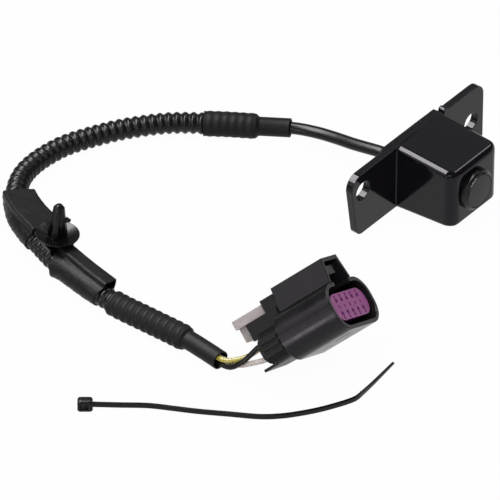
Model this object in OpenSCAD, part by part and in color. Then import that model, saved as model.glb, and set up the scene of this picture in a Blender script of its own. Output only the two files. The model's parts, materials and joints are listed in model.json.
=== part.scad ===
// Rear-view camera kit: a flanged camera on a short lead in ribbed conduit,
// with a push-in clip, a sealed plug with a slide lock, and a loose cable tie.
// The part stands on the foot of the camera's flange. +Z is up, -Y is where the lens looks.

/* [Flange] */
// Length of the flange, ear to ear
flange_len = 67.8; // [60:0.2:84]
// Height of the flange
flange_h = 24; // [23:0.5:30]
// Thickness of the flange
flange_t = 2.6; // [2:0.1:3.6]
// Corner radius of the flange
flange_corner_r = 4.6; // [2:0.2:7]
// How much the foot of the left ear is cut back
ear_cut = 3.6; // [0:0.2:5]
// Diameter of the two fixing holes
hole_d = 6.6; // [4:0.1:8]
// Distance between the two fixing holes along the flange
hole_dx = 55.2; // [44:0.2:62]
// How much higher the left fixing hole is than the right one
hole_rise = 5.8; // [0:0.2:7]
// Diameter of the locating peg on the top edge
peg_d = 2.2; // [1.6:0.1:3]

/* [Housing] */
// Width of the camera body
body_w = 23.8; // [21.5:0.1:28.6]
// Offset of the body from the middle of the flange; the lens stays in the middle
body_x = 1.2; // [0:0.1:1.4]
// Depth of the camera body in front of the flange
body_depth = 22.8; // [19:0.1:28]
// Rise of the underside towards the lens
underside_rise = 2.4; // [0:0.1:4]
// Fall of the top towards the lens
top_fall = 0.7; // [0:0.1:2]
// Wall of the housing, sides and underside
wall = 2.4; // [2:0.1:3]
// Thickness of the front wall round the lens
front_wall = 2; // [1.6:0.1:3]
// Radius on the edges of the body
edge_r = 2; // [0.8:0.1:2.6]
// Radius on the two upright front edges
front_edge_r = 3.8; // [1:0.1:5]

/* [Lens] */
// Diameter of the ring that bears on the housing
ring_d = 14; // [13.4:0.1:15]
// Thickness of that ring
ring_len = 1.7; // [1.2:0.1:2.4]
// Diameter of the nose in front of the ring
nose_d = 12.4; // [12:0.1:13]
// How far the nose stands out of the housing
nose_out = 2.8; // [2:0.1:4]
// Diameter of the shank that goes through the front wall
shank_d = 11; // [10.4:0.1:11.2]
// Length of the shank behind the housing's front face
shank_len = 9; // [7.5:0.1:10.8]
// Bore of the barrel
barrel_bore_d = 8.6; // [7.4:0.1:8.8]
// Diameter of the cover glass
glass_d = 11.2; // [10.6:0.1:11.4]
// Thickness of the cover glass
glass_t = 1.4; // [1:0.1:1.8]
// Thickness of each inner lens at its rim
lens_rim_t = 1; // [0.6:0.1:1.4]

/* [Boards] */
// Thickness of both circuit boards
board_t = 1.2; // [0.8:0.1:1.6]
// Gap between the two boards
board_gap = 4; // [3:0.1:4.8]
// Side of the image sensor
sensor_w = 7; // [5:0.1:8]
// Thickness of the image sensor
sensor_t = 1.5; // [1:0.1:2]
// Height of the lens holder's square base
holder_base_t = 3; // [2.4:0.1:3.6]

/* [Rear cover] */
// Thickness of the rear cover
cover_t = 2.4; // [2.2:0.1:4]
// How far the cover laps over the rim of the housing's cavity
cover_lap = 1.4; // [1.3:0.1:1.9]
// Thickness of the cover's wide rim, flush with the top of the flange
rim_t = 1; // [0.8:0.1:1.2]
// Side of the four screw bosses in the corners of the cavity
boss_w = 3.2; // [2.8:0.1:3.6]
// Diameter of the cover screws
screw_d = 1.5; // [1.2:0.1:1.6]
// Length of the cable gland behind the cover
gland_len = 6.6; // [5:0.1:8]
// Height of the cable above the floor of the housing's cavity
gland_rise = 3.7; // [3.5:0.1:4.6]

/* [Cable and conduit] */
// Diameter of the camera cable
cable_d = 4; // [3:0.1:4.5]
// Diameter over the conduit's ribs
conduit_d = 7.2; // [6.6:0.1:7.4]
// Depth of the conduit's grooves
rib_depth = 0.55; // [0.3:0.05:0.6]
// Bore of the conduit
conduit_bore_d = 5; // [4.6:0.1:5.2]
// Pitch of the conduit's ribs
rib_pitch = 2.65; // [2.2:0.05:3.3]
// Wall of the shrunk sleeves over the conduit
sleeve_wall = 0.5; // [0.4:0.05:0.6]
// Diameter of the sleeves where they grip the cable
neck_d = 6.2; // [5.6:0.1:7]
// Diameter of each plug wire
wire_d = 1.7; // [1.3:0.1:1.8]

/* [Clip] */
// Width of the clip's strip
strip_w = 9.4; // [7.8:0.1:11.4]
// Width of the narrow tongue at the strip's end
tongue_strip_w = 4.2; // [3.4:0.1:5.2]
// Thickness of the clip's strip
strip_t = 1.4; // [1:0.1:1.7]
// Thickness of the wrapped tape
tape_t = 0.4; // [0.3:0.05:0.5]
// Diameter of the clip's sealing dish
dish_d = 14; // [11:0.5:17]
// Length of the push-in post above the dish
post_len = 11.2; // [9:0.2:14]
// Diameter of the post at its foot
post_d = 6.6; // [5.4:0.1:8]
// Lean of the clip towards the inside of the bend, in degrees
clip_lean = 4; // [0:1:12]
// Offset of the clip from the conduit towards the inside of the bend
clip_side = 2.4; // [0:0.1:3]

/* [Plug] */
// Width of the plug's shroud
shroud_w = 30; // [29:0.2:37]
// Height of the shroud without its latch tower
shroud_h = 16; // [15.6:0.2:19.4]
// Length of the shroud
shroud_len = 21; // [19:0.2:25.4]
// Wall of the shroud
shroud_wall = 1.4; // [1.2:0.1:1.7]
// Height of the latch tower above the shroud
tower_h = 8.2; // [8:0.1:9.8]
// Width of the tower at its foot
tower_foot_w = 15.4; // [15:0.2:18.6]
// Width of the tower at its roof
tower_roof_w = 11.4; // [11:0.2:13.8]
// Pitch of the terminals along each row
terminal_pitch = 3.8; // [3.4:0.1:4]
// Distance between the two rows of terminals
row_gap = 4.3; // [4:0.1:4.6]
// Travel of the slide lock
lock_travel = 4.4; // [2:0.1:4.5]
// Travel of the terminal retainer
retainer_travel = 1.5; // [0.5:0.1:2]

/* [Cable tie] */
// Width of the tie's strap, which stands on edge
tie_w = 1.8; // [1.6:0.1:2.5]
// Thickness of the strap
tie_t = 0.8; // [0.7:0.05:1.1]
// Side of the tie's head
tie_head_w = 4.8; // [4.4:0.1:5.8]

/* [Fits] */
// Clearance between fitted pieces
fit = 0.1; // [0.05:0.01:0.12]
// Radial clearance of the pivots
pivot_fit = 0.06; // [0.03:0.01:0.1]

/* [Hidden] */

$fn = 48;

// Camera body, derived
back_y = flange_t / 2;
front_y = -flange_t / 2 - body_depth;
front_low = underside_rise;
front_high = flange_h - top_fall;
lens_z = (front_low + front_high) / 2;
hole_mid_z = flange_h * 0.59;
cavity_w = body_w - 2 * body_x - 2 * wall;
cavity_h = front_high - front_low - 2 * wall;
gland_z = lens_z - cavity_h / 2 + gland_rise;
boss_x = (cavity_w - boss_w) / 2;
boss_z = (cavity_h - boss_w) / 2;
peg_x = body_x + body_w / 2 + peg_d / 2 + 0.4;
notch_w = 0.9;
ear_foot_r = 3;

// Lens and boards, derived
glass_seat_d = glass_d + fit;
glass_crown = 0.35;
front_dome = 0.7;
rear_dome = 0.5;
seal_wire = 0.6;
seal_r = (shank_d + ring_d) / 4;
seal_groove = seal_wire + fit;
lens_d = barrel_bore_d - fit;
lens_land = 0.9;
lens_set_back = 0.9;
first_lens_h = nose_out - glass_t - fit - lens_rim_t - lens_set_back;
spacer_len = 3;
second_lens_h = first_lens_h - spacer_len - lens_rim_t;
ring_nut_t = 2.2;
boss_gap = 0.24;
nut_r = norm([cavity_w / 2 - boss_w, cavity_h / 2 - boss_w]) - boss_gap;
nut_slot = 1.3;
holder_tube = 4;
sensor_gap = 0.6;
sensor_board_y = front_y + shank_len + sensor_gap + holder_base_t;
video_board_y = sensor_board_y + board_t + board_gap;
video_back_y = video_board_y + board_t;
holder_w = cavity_h - 1.8;
sensor_pocket = sensor_w + 2;
spacer_d = 2.2;
spacer_x = (cavity_w - spacer_d) / 2 - 0.5;
spacer_z = (cavity_h - spacer_d) / 2 - 0.5;
chip_w = 6;
chip_t = 1;

// Rear cover and gland, derived
cover_w = cavity_w + 2 * cover_lap;
cover_h = cavity_h + 2 * cover_lap;
cover_back_y = back_y + cover_t;
rim_x = [-14.7, 12.5];
rim_low = 0.8;
spigot_len = 2.4;
gasket_t = 0.6;
gasket_w = 0.7;
gasket_inset = 0.35;
gland_neck_d = cable_d + 2.2;
gland_end_d = cable_d + 1.4;
gland_flange_d = cable_d + 3.6;
gland_lip_d = cable_d + 2.9;
gland_lip_t = 0.9;
gland_flange_t = 1.4;
screw_len = 7;
screw_head_d = 2.8;
screw_head_t = 1.1;
screw_slot = 0.5;
header_w = 7;
header_h = 4;
cable_start_y = back_y - spigot_len - gland_lip_t - 0.3;

// Route of the cable and conduit, on the table from the gland to the plug's wires
route = [[0, cable_start_y, gland_z], [0, 4, gland_z], [0, 9, gland_z], [0, 13, gland_z],
    [-0.5, 18, gland_z - 0.6], [-1, 24, gland_z - 1.5], [-1.2, 31, 6],
    [-2, 38, 5.2], [-4, 45, 4.6], [-7.5, 51, 4.3], [-12, 57.5, 4.3], [-16, 63.5, 4.3], [-20, 69, 4.3],
    [-24, 74.5, 4.3], [-28.5, 79.5, 4.3], [-34.5, 84.5, 4.3], [-41, 89, 4.3], [-48.5, 93, 4.3],
    [-56.5, 96.5, 4.3], [-63, 98, 4.3], [-70.5, 98.5, 4.3], [-77.5, 97.5, 4.3], [-84, 94.5, 4.3],
    [-91, 89, 4.3], [-96.5, 81.5, 4.3], [-100, 73, 4.3], [-102.5, 66.5, 4.3], [-104.5, 60, 4.3],
    [-106.5, 49, 4.3], [-108, 37, 4.3], [-108.5, 31, 4.3],
    [-108, 19.5, 4.3], [-107.5, 6, 4.3], [-108, -2.5, 4.3], [-109, -12, 4.3]];

// Stations along the route, as lengths from the cable's inner end
front_sleeve_at = [50, 78];
conduit_at = [62, 247];
bend_tape_at = [160, 180];
clip_at = 188.5;
clip_tape_at = [193, 215];
rear_sleeve_at = [220, 263.5];
front_neck_len = 10;
rear_neck_len = 14;
shoulder_len = 1.4;
cable_stop = 255;
wires_start = 255.4;

// Cable, sleeves and tape, derived
cable_sides = 10;
cable_step = 8.5;
rib_sides = 8;
round_gap = cos(180 / rib_sides);
sleeve_d = conduit_d + 2 * fit + 2 * sleeve_wall;
sleeve_rib_depth = 0.25;
wire_gap = 0.08;
wire_spread = wire_d / 2 / sin(60) + wire_gap;
bundle_d = 2 * wire_spread + wire_d + 2 * wire_gap;
neck_bore_d = (max(cable_d, bundle_d) + 2 * fit) / round_gap;
conduit_r = conduit_d / 2;
strip_v = conduit_r + fit;
strip_top = strip_v + strip_t;
strip_at = [bend_tape_at[0] + 2, clip_tape_at[1] - 2];
strip_end = clip_at + 3.5;
strip_bow = 1.3;
tongue_side = 0.9;
tape_gap = 0.12;
tape_step = 4;
tape_tuck = 0.3;
strip_step = 3;
clip_fade = 0.06;

// Clip, derived
dish_rise = 2;
dish_t = 0.7;
dish_root_d = 6.4;
pedestal_h = 0.8;
post_tip_d = 3.6;
fin_t = 1.5;
barb_w = 1.6;
tab_d = 2;
tab_out = 2.4;

// Plug, derived. In its own frame the mouth is at y = 0 and the wires leave along +Y
plug_pos = [-83.5, -42.2, 28.4];
plug_turn = [-46, 28, 10.5];
shroud_r = shroud_h / 2 - 1;
mouth_depth = 17;
mouth_w = shroud_w - 2 * shroud_wall;
mouth_h = shroud_h - 2 * shroud_wall;
block_w = 24.3;
block_h = 9;
block_r = 4.3;
block_front = 4.6;
retainer_front = 1.1;
retainer_peg_d = 1.8;
retainer_peg_len = retainer_travel + 1.5;
retainer_peg_x = block_w / 2 - 1.75;
blade_slot = [1.6, 1.2];
probe_slot = [1, 1.1];
probe_out = 1.35;
mark = [0.9, 1.2];
mark_depth = 0.4;
rear_block_w = 23;
rear_block_h = 11.4;
rear_block_len = 8.5;
rear_block_end = shroud_len + rear_block_len;
bridge_w = 13;
bridge_top = shroud_h / 2 + 1;
bridge_end = rear_block_end + 3.6;
skirt_t = 0.9;
skirt_w = 15;
skirt_out = 3;
grip_ribs = 3;
grip_from = 1.4;
grip_pitch = 2.2;
grip_w = 1.1;
rail_h = 1.3;
columns = 5;
cavity = 1.7;
wire_way = wire_d + 0.4;
crimp_y = 18;
collar_at = 11.5;
collar_len = 4;
collar_t = 0.8;
collar_lips = [0.5, 2.1];
lip_out = 1.3;
pocket_w = 19.6;
pocket_h = 8.2;
pocket_r = 3.9;
pocket_y = rear_block_end - 5;
seal_len = 4;
cap_plate = 1;
cap_lip = 1.5;
cap_end = rear_block_end + cap_lip;
seal_hole_d = wire_d + 0.2;
cap_hole_d = wire_d + 0.6;
terminal_w = 1.5;
terminal_len = 10.8;

// Latch tower, lever and slide lock, derived
tower_len = shroud_len - 1;
tower_wall = 1.3;
tower_floor = shroud_h / 2;
tower_top = tower_floor + tower_h;
tower_ceiling = tower_top - tower_wall;
latch_way_w = tower_foot_w - 4.8;
latch_way_len = 8;
foot_groove = 0.8;
slit_pos = [-4, 4];
slit_size = [1, 6];
lever_w = 6.4;
lever_t = 1.4;
lever_top = tower_ceiling - 1.1;
lever_front = 1.5;
lever_rear = 16.5;
pivot_y = 7;
pivot_h = lever_top - lever_t / 2;
pivot_d = 1.6;
pivot_half = tower_foot_w / 2 - (tower_foot_w - tower_roof_w) / 2 * (pivot_h - tower_floor) / tower_h - 0.45;
pad_from = 11.5;
window_w = lever_w + 1.2;
window_y = [pad_from - 2, lever_rear + 2];
catch_w = lever_w - 1.2;
catch_len = 2.5;
catch_drop = 1.5;
lock_w = 9;
lock_h = 3;
lock_len = 12.3;
lock_front = tower_len + lock_travel + 0.3;
bar_front = lock_front + 0.8;
hood_w = lock_w + 2.8;
hood_from = tower_len + 0.2;
hood_end = bar_front - 0.2;
lock_low = bridge_top + 1.5;
hood_top = lock_low + lock_h + 1;
tongue_w = 5.4;
tongue_t = 1.5;
tongue_low = bridge_top + 0.2;
tongue_from = lock_front - 7.7;
leg_w = 4.8;
leg_from = bar_front + lock_len - 3.7;
leg_to = leg_from + 3.5;
leg_low = bridge_top - 3.2;
leg_slot_low = leg_low - 0.4;
leg_slot_from = leg_from - lock_travel - 0.5;

// Wires: middle points by hand, ends from the sleeve and from the plug's cavities
wire_sides = 8;
wire_step = 3.6;
black_mid = [[-109.6, -14.8, 4.5], [-107.9, -18.7, 8]];
yellow_mid = [[-108.6, -13.5, 5.8], [-105, -17.8, 7.4]];
white_mid = [[-107.3, -16, 4.6], [-106.8, -21.7, 8.1]];
black_cavity = [-2, 1];
yellow_cavity = [-1, 1];
white_cavity = [-2, -1];
wire_out = 1.6;

// Cable tie on the table, derived
tie_route = [[-148, 8.5, 2], [-143, 2.5, 1.7], [-137, -4.5, 1.3], [-133, -11, 1.1], [-129, -18, 1],
    [-124, -26, 1],
    [-119, -34, 1], [-114.5, -39, 1], [-109.5, -43, 1], [-104, -46.6, 1], [-98, -49.7, 1],
    [-94.4, -51.2, 1], [-92.4, -51.6, 1], [-90, -51.5, 1], [-83.5, -51, 1], [-72.5, -49.8, 1]];
tie_step = 4;
tie_tail = 19;
tie_tip_w = 0.7;
tie_heading = -50;
tie_head_t = 2.9;
tie_head_h = 2 * tie_route[0].z;
tie_slot_w = tie_t + 0.9;
tie_slot_h = tie_w + 0.4;
pawl_w = tie_slot_h - 2 * fit;
pawl_len = 1.7;
pawl_t = 0.55;
pawl_pivot_d = 0.8;
pawl_x = 0.7;
pawl_y = 0.8 - tie_head_t / 2;
head_pos = [tie_route[0].x, tie_route[0].y, 0] - tie_head_w / 2 * [cos(tie_heading), sin(tie_heading), 0];

// Smooth paths
function spline(a, b, c, d, t) = 0.5 * (2 * b + (c - a) * t + (2 * a - 5 * b + 4 * c - d) * t * t
    + (3 * b - a - 3 * c + d) * t * t * t);
function ghost(p, i) = i < 0 ? 2 * p[0] - p[1] : i >= len(p) ? 2 * p[len(p) - 1] - p[len(p) - 2] : p[i];
function dense(p, n = 8) = concat([for (i = [0:len(p) - 2], k = [0:n - 1])
    spline(ghost(p, i - 1), p[i], p[i + 1], ghost(p, i + 2), k / n)], [p[len(p) - 1]]);
function measured(d) = [for (i = 0, s = 0; i < len(d);
    s = s + (i + 1 < len(d) ? norm(d[i + 1] - d[i]) : 0), i = i + 1) [s, d[i]]];
function path(p) = let (m = measured(dense(p))) [for (axis = [0:2]) [for (a = m) [a[0], a[1][axis]]]];
function path_len(w) = w[0][len(w[0]) - 1][0];
function at(w, s) = [for (axis = [0:2]) lookup(s, w[axis])];
function heading(w, s) = let (v = at(w, s + 0.4) - at(w, s - 0.4)) v / norm(v);
function sideways(w, s) = let (v = cross([0, 0, 1], heading(w, s))) v / norm(v);
function ring(w, s, outline, lean = 0) = let (o = at(w, s), e = sideways(w, s), u = cross(heading(w, s), e))
    [for (p = outline) o + (p.x * cos(lean) + p.y * sin(lean)) * e + (p.y * cos(lean) - p.x * sin(lean)) * u];
function round_outline(r, n) = [for (i = [0:n - 1]) r * [cos(360 * (i + 0.5) / n), sin(360 * (i + 0.5) / n)]];
function steps(from, to, step) = let (n = max(1, round((to - from) / step)))
    [for (i = [0:n]) from + (to - from) * i / n];

route_path = path(route);
tie_path = path(tie_route);

// A skin over a list of rings; inner rings, where given, are its bore
module skin(outer, inner = []) {
    n = len(outer[0]);
    m = len(outer);
    k = len(inner);
    points = concat([for (r = outer) each r], [for (r = inner) each r]);
    base = n * m;
    sides = [for (i = [0:m - 2], j = [0:n - 1]) let (a = i * n + j, b = i * n + (j + 1) % n)
        each [[a, a + n, b + n], [a, b + n, b]]];
    bore = k < 2 ? [] : [for (i = [0:k - 2], j = [0:n - 1])
        let (a = base + i * n + j, b = base + i * n + (j + 1) % n) each [[a, b, b + n], [a, b + n, a + n]]];
    last = (m - 1) * n;
    bore_last = base + (k - 1) * n;
    ends = k < 2
        ? concat([for (j = [1:n - 2]) [0, j, j + 1]], [for (j = [1:n - 2]) [last, last + j + 1, last + j]])
        : [for (j = [0:n - 1]) let (q = (j + 1) % n) each [[j, q, base + q], [j, base + q, base + j],
            [last + j, bore_last + q, last + q], [last + j, bore_last + j, bore_last + q]]];
    polyhedron(points, concat(sides, bore, ends), convexity = 10);
}

// Outline helpers
module plate(w, h, r) {
    square([w - 2 * r, h], center = true);
    square([w, h - 2 * r], center = true);
    for (sx = [-1, 1], sy = [-1, 1]) translate([sx * (w / 2 - r), sy * (h / 2 - r)]) circle(r);
}

module along_y(from, to) translate([0, to, 0]) rotate([90, 0, 0]) linear_extrude(to - from) children();

// A turned piece about the lens axis; profile heights run forward from the housing's front face
module turned(profile) translate([0, front_y, lens_z]) rotate([90, 0, 0]) rotate_extrude() polygon(profile);

// The cross-shaped inside of the housing, between its corner bosses
module cavity_outline(gap) {
    square([cavity_w - 2 * gap, cavity_h - 2 * boss_w - 2 * gap], center = true);
    square([cavity_w - 2 * boss_w - 2 * gap, cavity_h - 2 * gap], center = true);
}

module at_lens_axis() translate([0, 0, lens_z]) children();

module at_bosses() for (sx = [-1, 1], sz = [-1, 1]) translate([sx * boss_x, 0, lens_z + sz * boss_z])
    children();

module at_spacers(list) for (p = list) translate([p.x * spacer_x, 0, lens_z + p.y * spacer_z]) children();

module rod_y(from, to, d) translate([0, to, 0]) rotate([90, 0, 0]) cylinder(d = d, h = to - from);

// Camera

// An outline with a radius, given third, on each corner
function rounded(list) = [for (i = [0:len(list) - 1])
    let (n = len(list), q = list[i], p = [q.x, q.y], f = list[(i + n - 1) % n], g = list[(i + 1) % n],
        a = ([f.x, f.y] - p) / norm([f.x, f.y] - p), b = ([g.x, g.y] - p) / norm([g.x, g.y] - p),
        half = acos(a * b) / 2, c = p + (a + b) / norm(a + b) * q.z / sin(half),
        v = p + a * q.z / tan(half) - c, w = p + b * q.z / tan(half) - c,
        from = atan2(v.y, v.x), sweep = (atan2(w.y, w.x) - from + 540) % 360 - 180)
    for (k = [0:8]) c + q.z * [cos(from + sweep * k / 8), sin(from + sweep * k / 8)]];

function corner_arc(c, r, from, to) = [for (i = [0:6]) let (a = from + (to - from) * i / 6)
    c + r * [cos(a), sin(a)]];

// Side view of the body: its top falls and its underside rises towards the lens
side_profile = concat([[back_y, 0], [back_y, flange_h], [-back_y, flange_h]],
    corner_arc([front_y + edge_r, front_high - edge_r], edge_r, 90, 180),
    corner_arc([front_y + edge_r, front_low + edge_r], edge_r, 180, 270), [[-back_y, 0]]);

module housing_block() intersection() {
    translate([body_x, 0, 0]) rotate([90, 0, 90]) linear_extrude(body_w, center = true) polygon(side_profile);
    linear_extrude(flange_h) translate([body_x, front_y + body_depth])
        plate(body_w, 2 * body_depth, front_edge_r);
    along_y(front_y, back_y) translate([body_x, flange_h / 2]) plate(body_w, flange_h, edge_r);
}

module front_housing() color("#1c1c1e") difference() {
    union() {
        along_y(-back_y, back_y) polygon(rounded([[flange_len / 2, 0, ear_foot_r],
            [flange_len / 2, flange_h, flange_corner_r], [-flange_len / 2, flange_h, flange_corner_r],
            [ear_cut - flange_len / 2, 0, ear_foot_r]]));
        housing_block();
        translate([peg_x, 0, flange_h - peg_d / 4]) rod_y(-back_y, back_y, peg_d);
    }
    translate([peg_x - peg_d / 2 - notch_w, -flange_t, flange_h - notch_w])
        cube([notch_w, 2 * flange_t, 2 * notch_w]);
    for (s = [-1, 1]) translate([s * hole_dx / 2, 0, hole_mid_z - s * hole_rise / 2])
        rod_y(-flange_t, flange_t, hole_d);
    at_lens_axis() along_y(front_y + front_wall, back_y + 1) cavity_outline(0);
    at_lens_axis() rod_y(front_y - 1, front_y + front_wall + 1, shank_d + 2 * fit);
    at_bosses() rod_y(back_y - screw_len, back_y + 1, screw_d + fit);
}

module lens_barrel() color("#161617") turned([[barrel_bore_d / 2, -shank_len], [shank_d / 2, -shank_len],
    [shank_d / 2, 0], [seal_r - seal_groove / 2, 0], [seal_r - seal_groove / 2, seal_wire],
    [seal_r + seal_groove / 2, seal_wire], [seal_r + seal_groove / 2, 0], [ring_d / 2, 0],
    [ring_d / 2, ring_len],
    [nose_d / 2, ring_len + 0.4], [nose_d / 2, nose_out - 0.2], [nose_d / 2 - 0.2, nose_out],
    [glass_seat_d / 2, nose_out], [glass_seat_d / 2, nose_out - glass_t - fit],
    [barrel_bore_d / 2, nose_out - glass_t - fit]]);

module cover_glass() color("#26262b") turned(concat([[0, nose_out - glass_t],
    [glass_d / 2, nose_out - glass_t],
    [glass_d / 2, nose_out - glass_crown]],
    [for (i = [5:-1:0]) [glass_d / 2 * i / 6, nose_out - glass_crown * pow(i / 6, 2)]]));

module lens_seal() color("#2b2b2b") translate([0, front_y, lens_z]) rotate([90, 0, 0]) rotate_extrude()
    translate([seal_r, seal_wire / 2]) circle(d = seal_wire, $fn = 24);

// A lens with a flat land at its rim and a dome on each side
module lens(low, dome) color("#9fb4c0") turned(concat(
    [for (i = [0:4]) [(lens_d / 2 - lens_land) * i / 4, low - dome * (1 - pow(i / 4, 2))]],
    [[lens_d / 2, low], [lens_d / 2, low + lens_rim_t]],
    [for (i = [4:-1:0]) [(lens_d / 2 - lens_land) * i / 4, low + lens_rim_t + dome * (1 - pow(i / 4, 2))]]));

module front_lens() lens(first_lens_h, front_dome);

module rear_lens() lens(second_lens_h, rear_dome);

module ring_in_barrel(low, high) turned([[lens_d / 2 - lens_land, low], [lens_d / 2, low], [lens_d / 2, high],
    [lens_d / 2 - lens_land, high]]);

module lens_spacer() color("#222222") ring_in_barrel(first_lens_h - spacer_len, first_lens_h);

module lens_retaining_ring() color("#222222") ring_in_barrel(second_lens_h - lens_rim_t, second_lens_h);

module barrel_nut() color("#3a3a3c") difference() {
    at_lens_axis() rod_y(front_y + front_wall, front_y + front_wall + ring_nut_t, 2 * nut_r);
    at_lens_axis() rod_y(front_y, front_y + front_wall + ring_nut_t + 1, shank_d + fit);
    for (s = [-1, 1]) translate([s * nut_r, front_y + front_wall + ring_nut_t, lens_z])
        cube([nut_slot, ring_nut_t, nut_slot], center = true);
}

module lens_holder() color("#202022") difference() {
    at_lens_axis() union() {
        along_y(sensor_board_y - holder_base_t, sensor_board_y) square([holder_w, holder_w], center = true);
        rod_y(sensor_board_y - holder_base_t - holder_tube, sensor_board_y - 1, 2 * nut_r);
    }
    at_lens_axis() along_y(sensor_board_y - holder_base_t, sensor_board_y + 1)
        square(sensor_pocket, center = true);
    at_lens_axis() rod_y(front_y, sensor_board_y - holder_base_t + 0.1, shank_d + fit);
    at_bosses() along_y(front_y, back_y) square(boss_w + 2 * fit, center = true);
}

module image_sensor() color("#4b5563") at_lens_axis() along_y(sensor_board_y - sensor_t, sensor_board_y)
    square(sensor_w, center = true);

module board(from) at_lens_axis() along_y(from, from + board_t) cavity_outline(2 * fit);

module sensor_board() color("#1f6b3a") board(sensor_board_y);

module board_spacers() color("#b8973f") at_spacers([[-1, 0], [1, 0], [0, 1], [0, -1]])
    rod_y(sensor_board_y + board_t, video_board_y, spacer_d);

module video_board() color("#1f6b3a") board(video_board_y);

module video_chip() color("#2a2a2a") at_lens_axis() along_y(video_board_y - chip_t, video_board_y)
    square(chip_w, center = true);

module cable_header() color("#d8d2c0") translate([0, 0, gland_z]) along_y(video_back_y, cable_start_y)
    square([header_w, header_h], center = true);

module gasket_outline() difference() {
    square([cover_w - 2 * gasket_inset, cover_h - 2 * gasket_inset], center = true);
    square([cover_w - 2 * gasket_inset - 2 * gasket_w, cover_h - 2 * gasket_inset - 2 * gasket_w],
        center = true);
}

module cover_gasket() color("#303030") at_lens_axis() along_y(back_y, back_y + gasket_t) gasket_outline();

module rear_cover() color("#1c1c1e") difference() {
    union() {
        at_lens_axis() along_y(back_y, cover_back_y) plate(cover_w, cover_h, edge_r / 2);
        translate([rim_x[0], back_y, rim_low]) cube([rim_x[1] - rim_x[0], rim_t, flange_h - rim_low]);
        at_lens_axis() along_y(back_y - spigot_len, back_y + 1) cavity_outline(fit);
        at_spacers([[-1, 0], [1, 0], [0, 1]]) rod_y(video_back_y, back_y, spacer_d);
    }
    at_lens_axis() along_y(back_y - 1, back_y + gasket_t) gasket_outline();
    translate([0, 0, gland_z]) rod_y(back_y - spigot_len - 1, cover_back_y + 1, gland_neck_d + fit);
    at_bosses() rod_y(back_y - 1, cover_back_y + 1, screw_d + 2 * fit);
}

module cover_screws() color("#8d9096") at_bosses() difference() {
    union() {
        rod_y(cover_back_y - screw_len, cover_back_y + screw_head_t / 2, screw_d);
        rod_y(cover_back_y, cover_back_y + screw_head_t, screw_head_d);
    }
    translate([0, cover_back_y + screw_head_t, 0])
        cube([screw_head_d, screw_head_t, screw_slot], center = true);
}

module cable_gland() color("#242424") translate([0, cover_back_y, gland_z]) rotate([-90, 0, 0])
    rotate_extrude()
    polygon([[cable_d / 2 + fit, -cover_t - spigot_len - gland_lip_t],
        [gland_lip_d / 2, -cover_t - spigot_len - gland_lip_t], [gland_lip_d / 2, -cover_t - spigot_len],
        [gland_neck_d / 2, -cover_t - spigot_len], [gland_neck_d / 2, 0], [gland_flange_d / 2, 0],
        [gland_flange_d / 2, gland_flange_t], [gland_neck_d / 2, gland_flange_t + 0.6],
        [gland_end_d / 2, gland_len],
        [cable_d / 2 + fit, gland_len]]);

// Lead

module camera_cable() color("#1b1b1b") skin([for (s = steps(0, cable_stop, cable_step))
    ring(route_path, s, round_outline(cable_d / 2, cable_sides))]);

function round_rings(list) = [for (p = list) ring(route_path, p[0], round_outline(p[1], rib_sides))];

// A shrunk sleeve: a neck on the cable from neck_from, then ribs over the conduit as far as ribs_to
module sleeve(neck_from, ribs_to, neck_len) {
    way = sign(ribs_to - neck_from);
    shoulder = neck_from + way * neck_len;
    ribs_from = shoulder + way * shoulder_len;
    count = floor(abs(ribs_to - ribs_from) / rib_pitch);
    neck = [for (t = [0:0.25:1]) neck_from + t * (shoulder - neck_from)];
    outer = concat([for (s = neck) [s, neck_d / 2]],
        [for (i = [0:count - 1]) each [[ribs_from + way * i * rib_pitch, sleeve_d / 2 - sleeve_rib_depth],
            [ribs_from + way * (i + 0.5) * rib_pitch, sleeve_d / 2]]],
        [[ribs_to, sleeve_d / 2 - sleeve_rib_depth]]);
    inner = concat([for (s = neck) [s, neck_bore_d / 2]], [[ribs_from, conduit_r + fit]],
        [for (s = steps(ribs_from + way, ribs_to, way * 2 * rib_pitch)) [s, conduit_r + fit]]);
    if (way > 0) skin(round_rings(outer), round_rings(inner));
    else skin(round_rings(reversed(outer)), round_rings(reversed(inner)));
}

function reversed(list) = [for (i = [len(list) - 1:-1:0]) list[i]];

module front_sleeve() color("#2d2b2d") sleeve(front_sleeve_at[0], front_sleeve_at[1], front_neck_len);

module rear_sleeve() color("#2d2b2d") sleeve(rear_sleeve_at[1], rear_sleeve_at[0], rear_neck_len);

module corrugated_conduit() color("#1e1e1f") {
    ribs = floor((conduit_at[1] - conduit_at[0]) / rib_pitch);
    outer = [for (i = [0:ribs - 1]) each [[conduit_at[0] + i * rib_pitch, conduit_r - rib_depth],
        [conduit_at[0] + (i + 0.5) * rib_pitch, conduit_r]]];
    skin(round_rings(concat(outer, [[conduit_at[1], conduit_r - rib_depth]])),
        round_rings([for (s = steps(conduit_at[0], conduit_at[1], 2 * rib_pitch)) [s, conduit_bore_d / 2]]));
}

// The clip's flat strip: it bows off the bend before the clip, and ends in a narrow tongue after it
function in_tongue(s) = s > strip_end + 0.02;
function strip_w_at(s) = in_tongue(s) ? tongue_strip_w : strip_w;
function bow_at(s) = strip_bow * max(0, sin(180 * (clip_at - s) / (clip_at - bend_tape_at[0])));
function side_at(s) = max(0, clip_side - clip_fade * abs(s - clip_at))
    + (in_tongue(s) ? tongue_side : bow_at(s));

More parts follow.
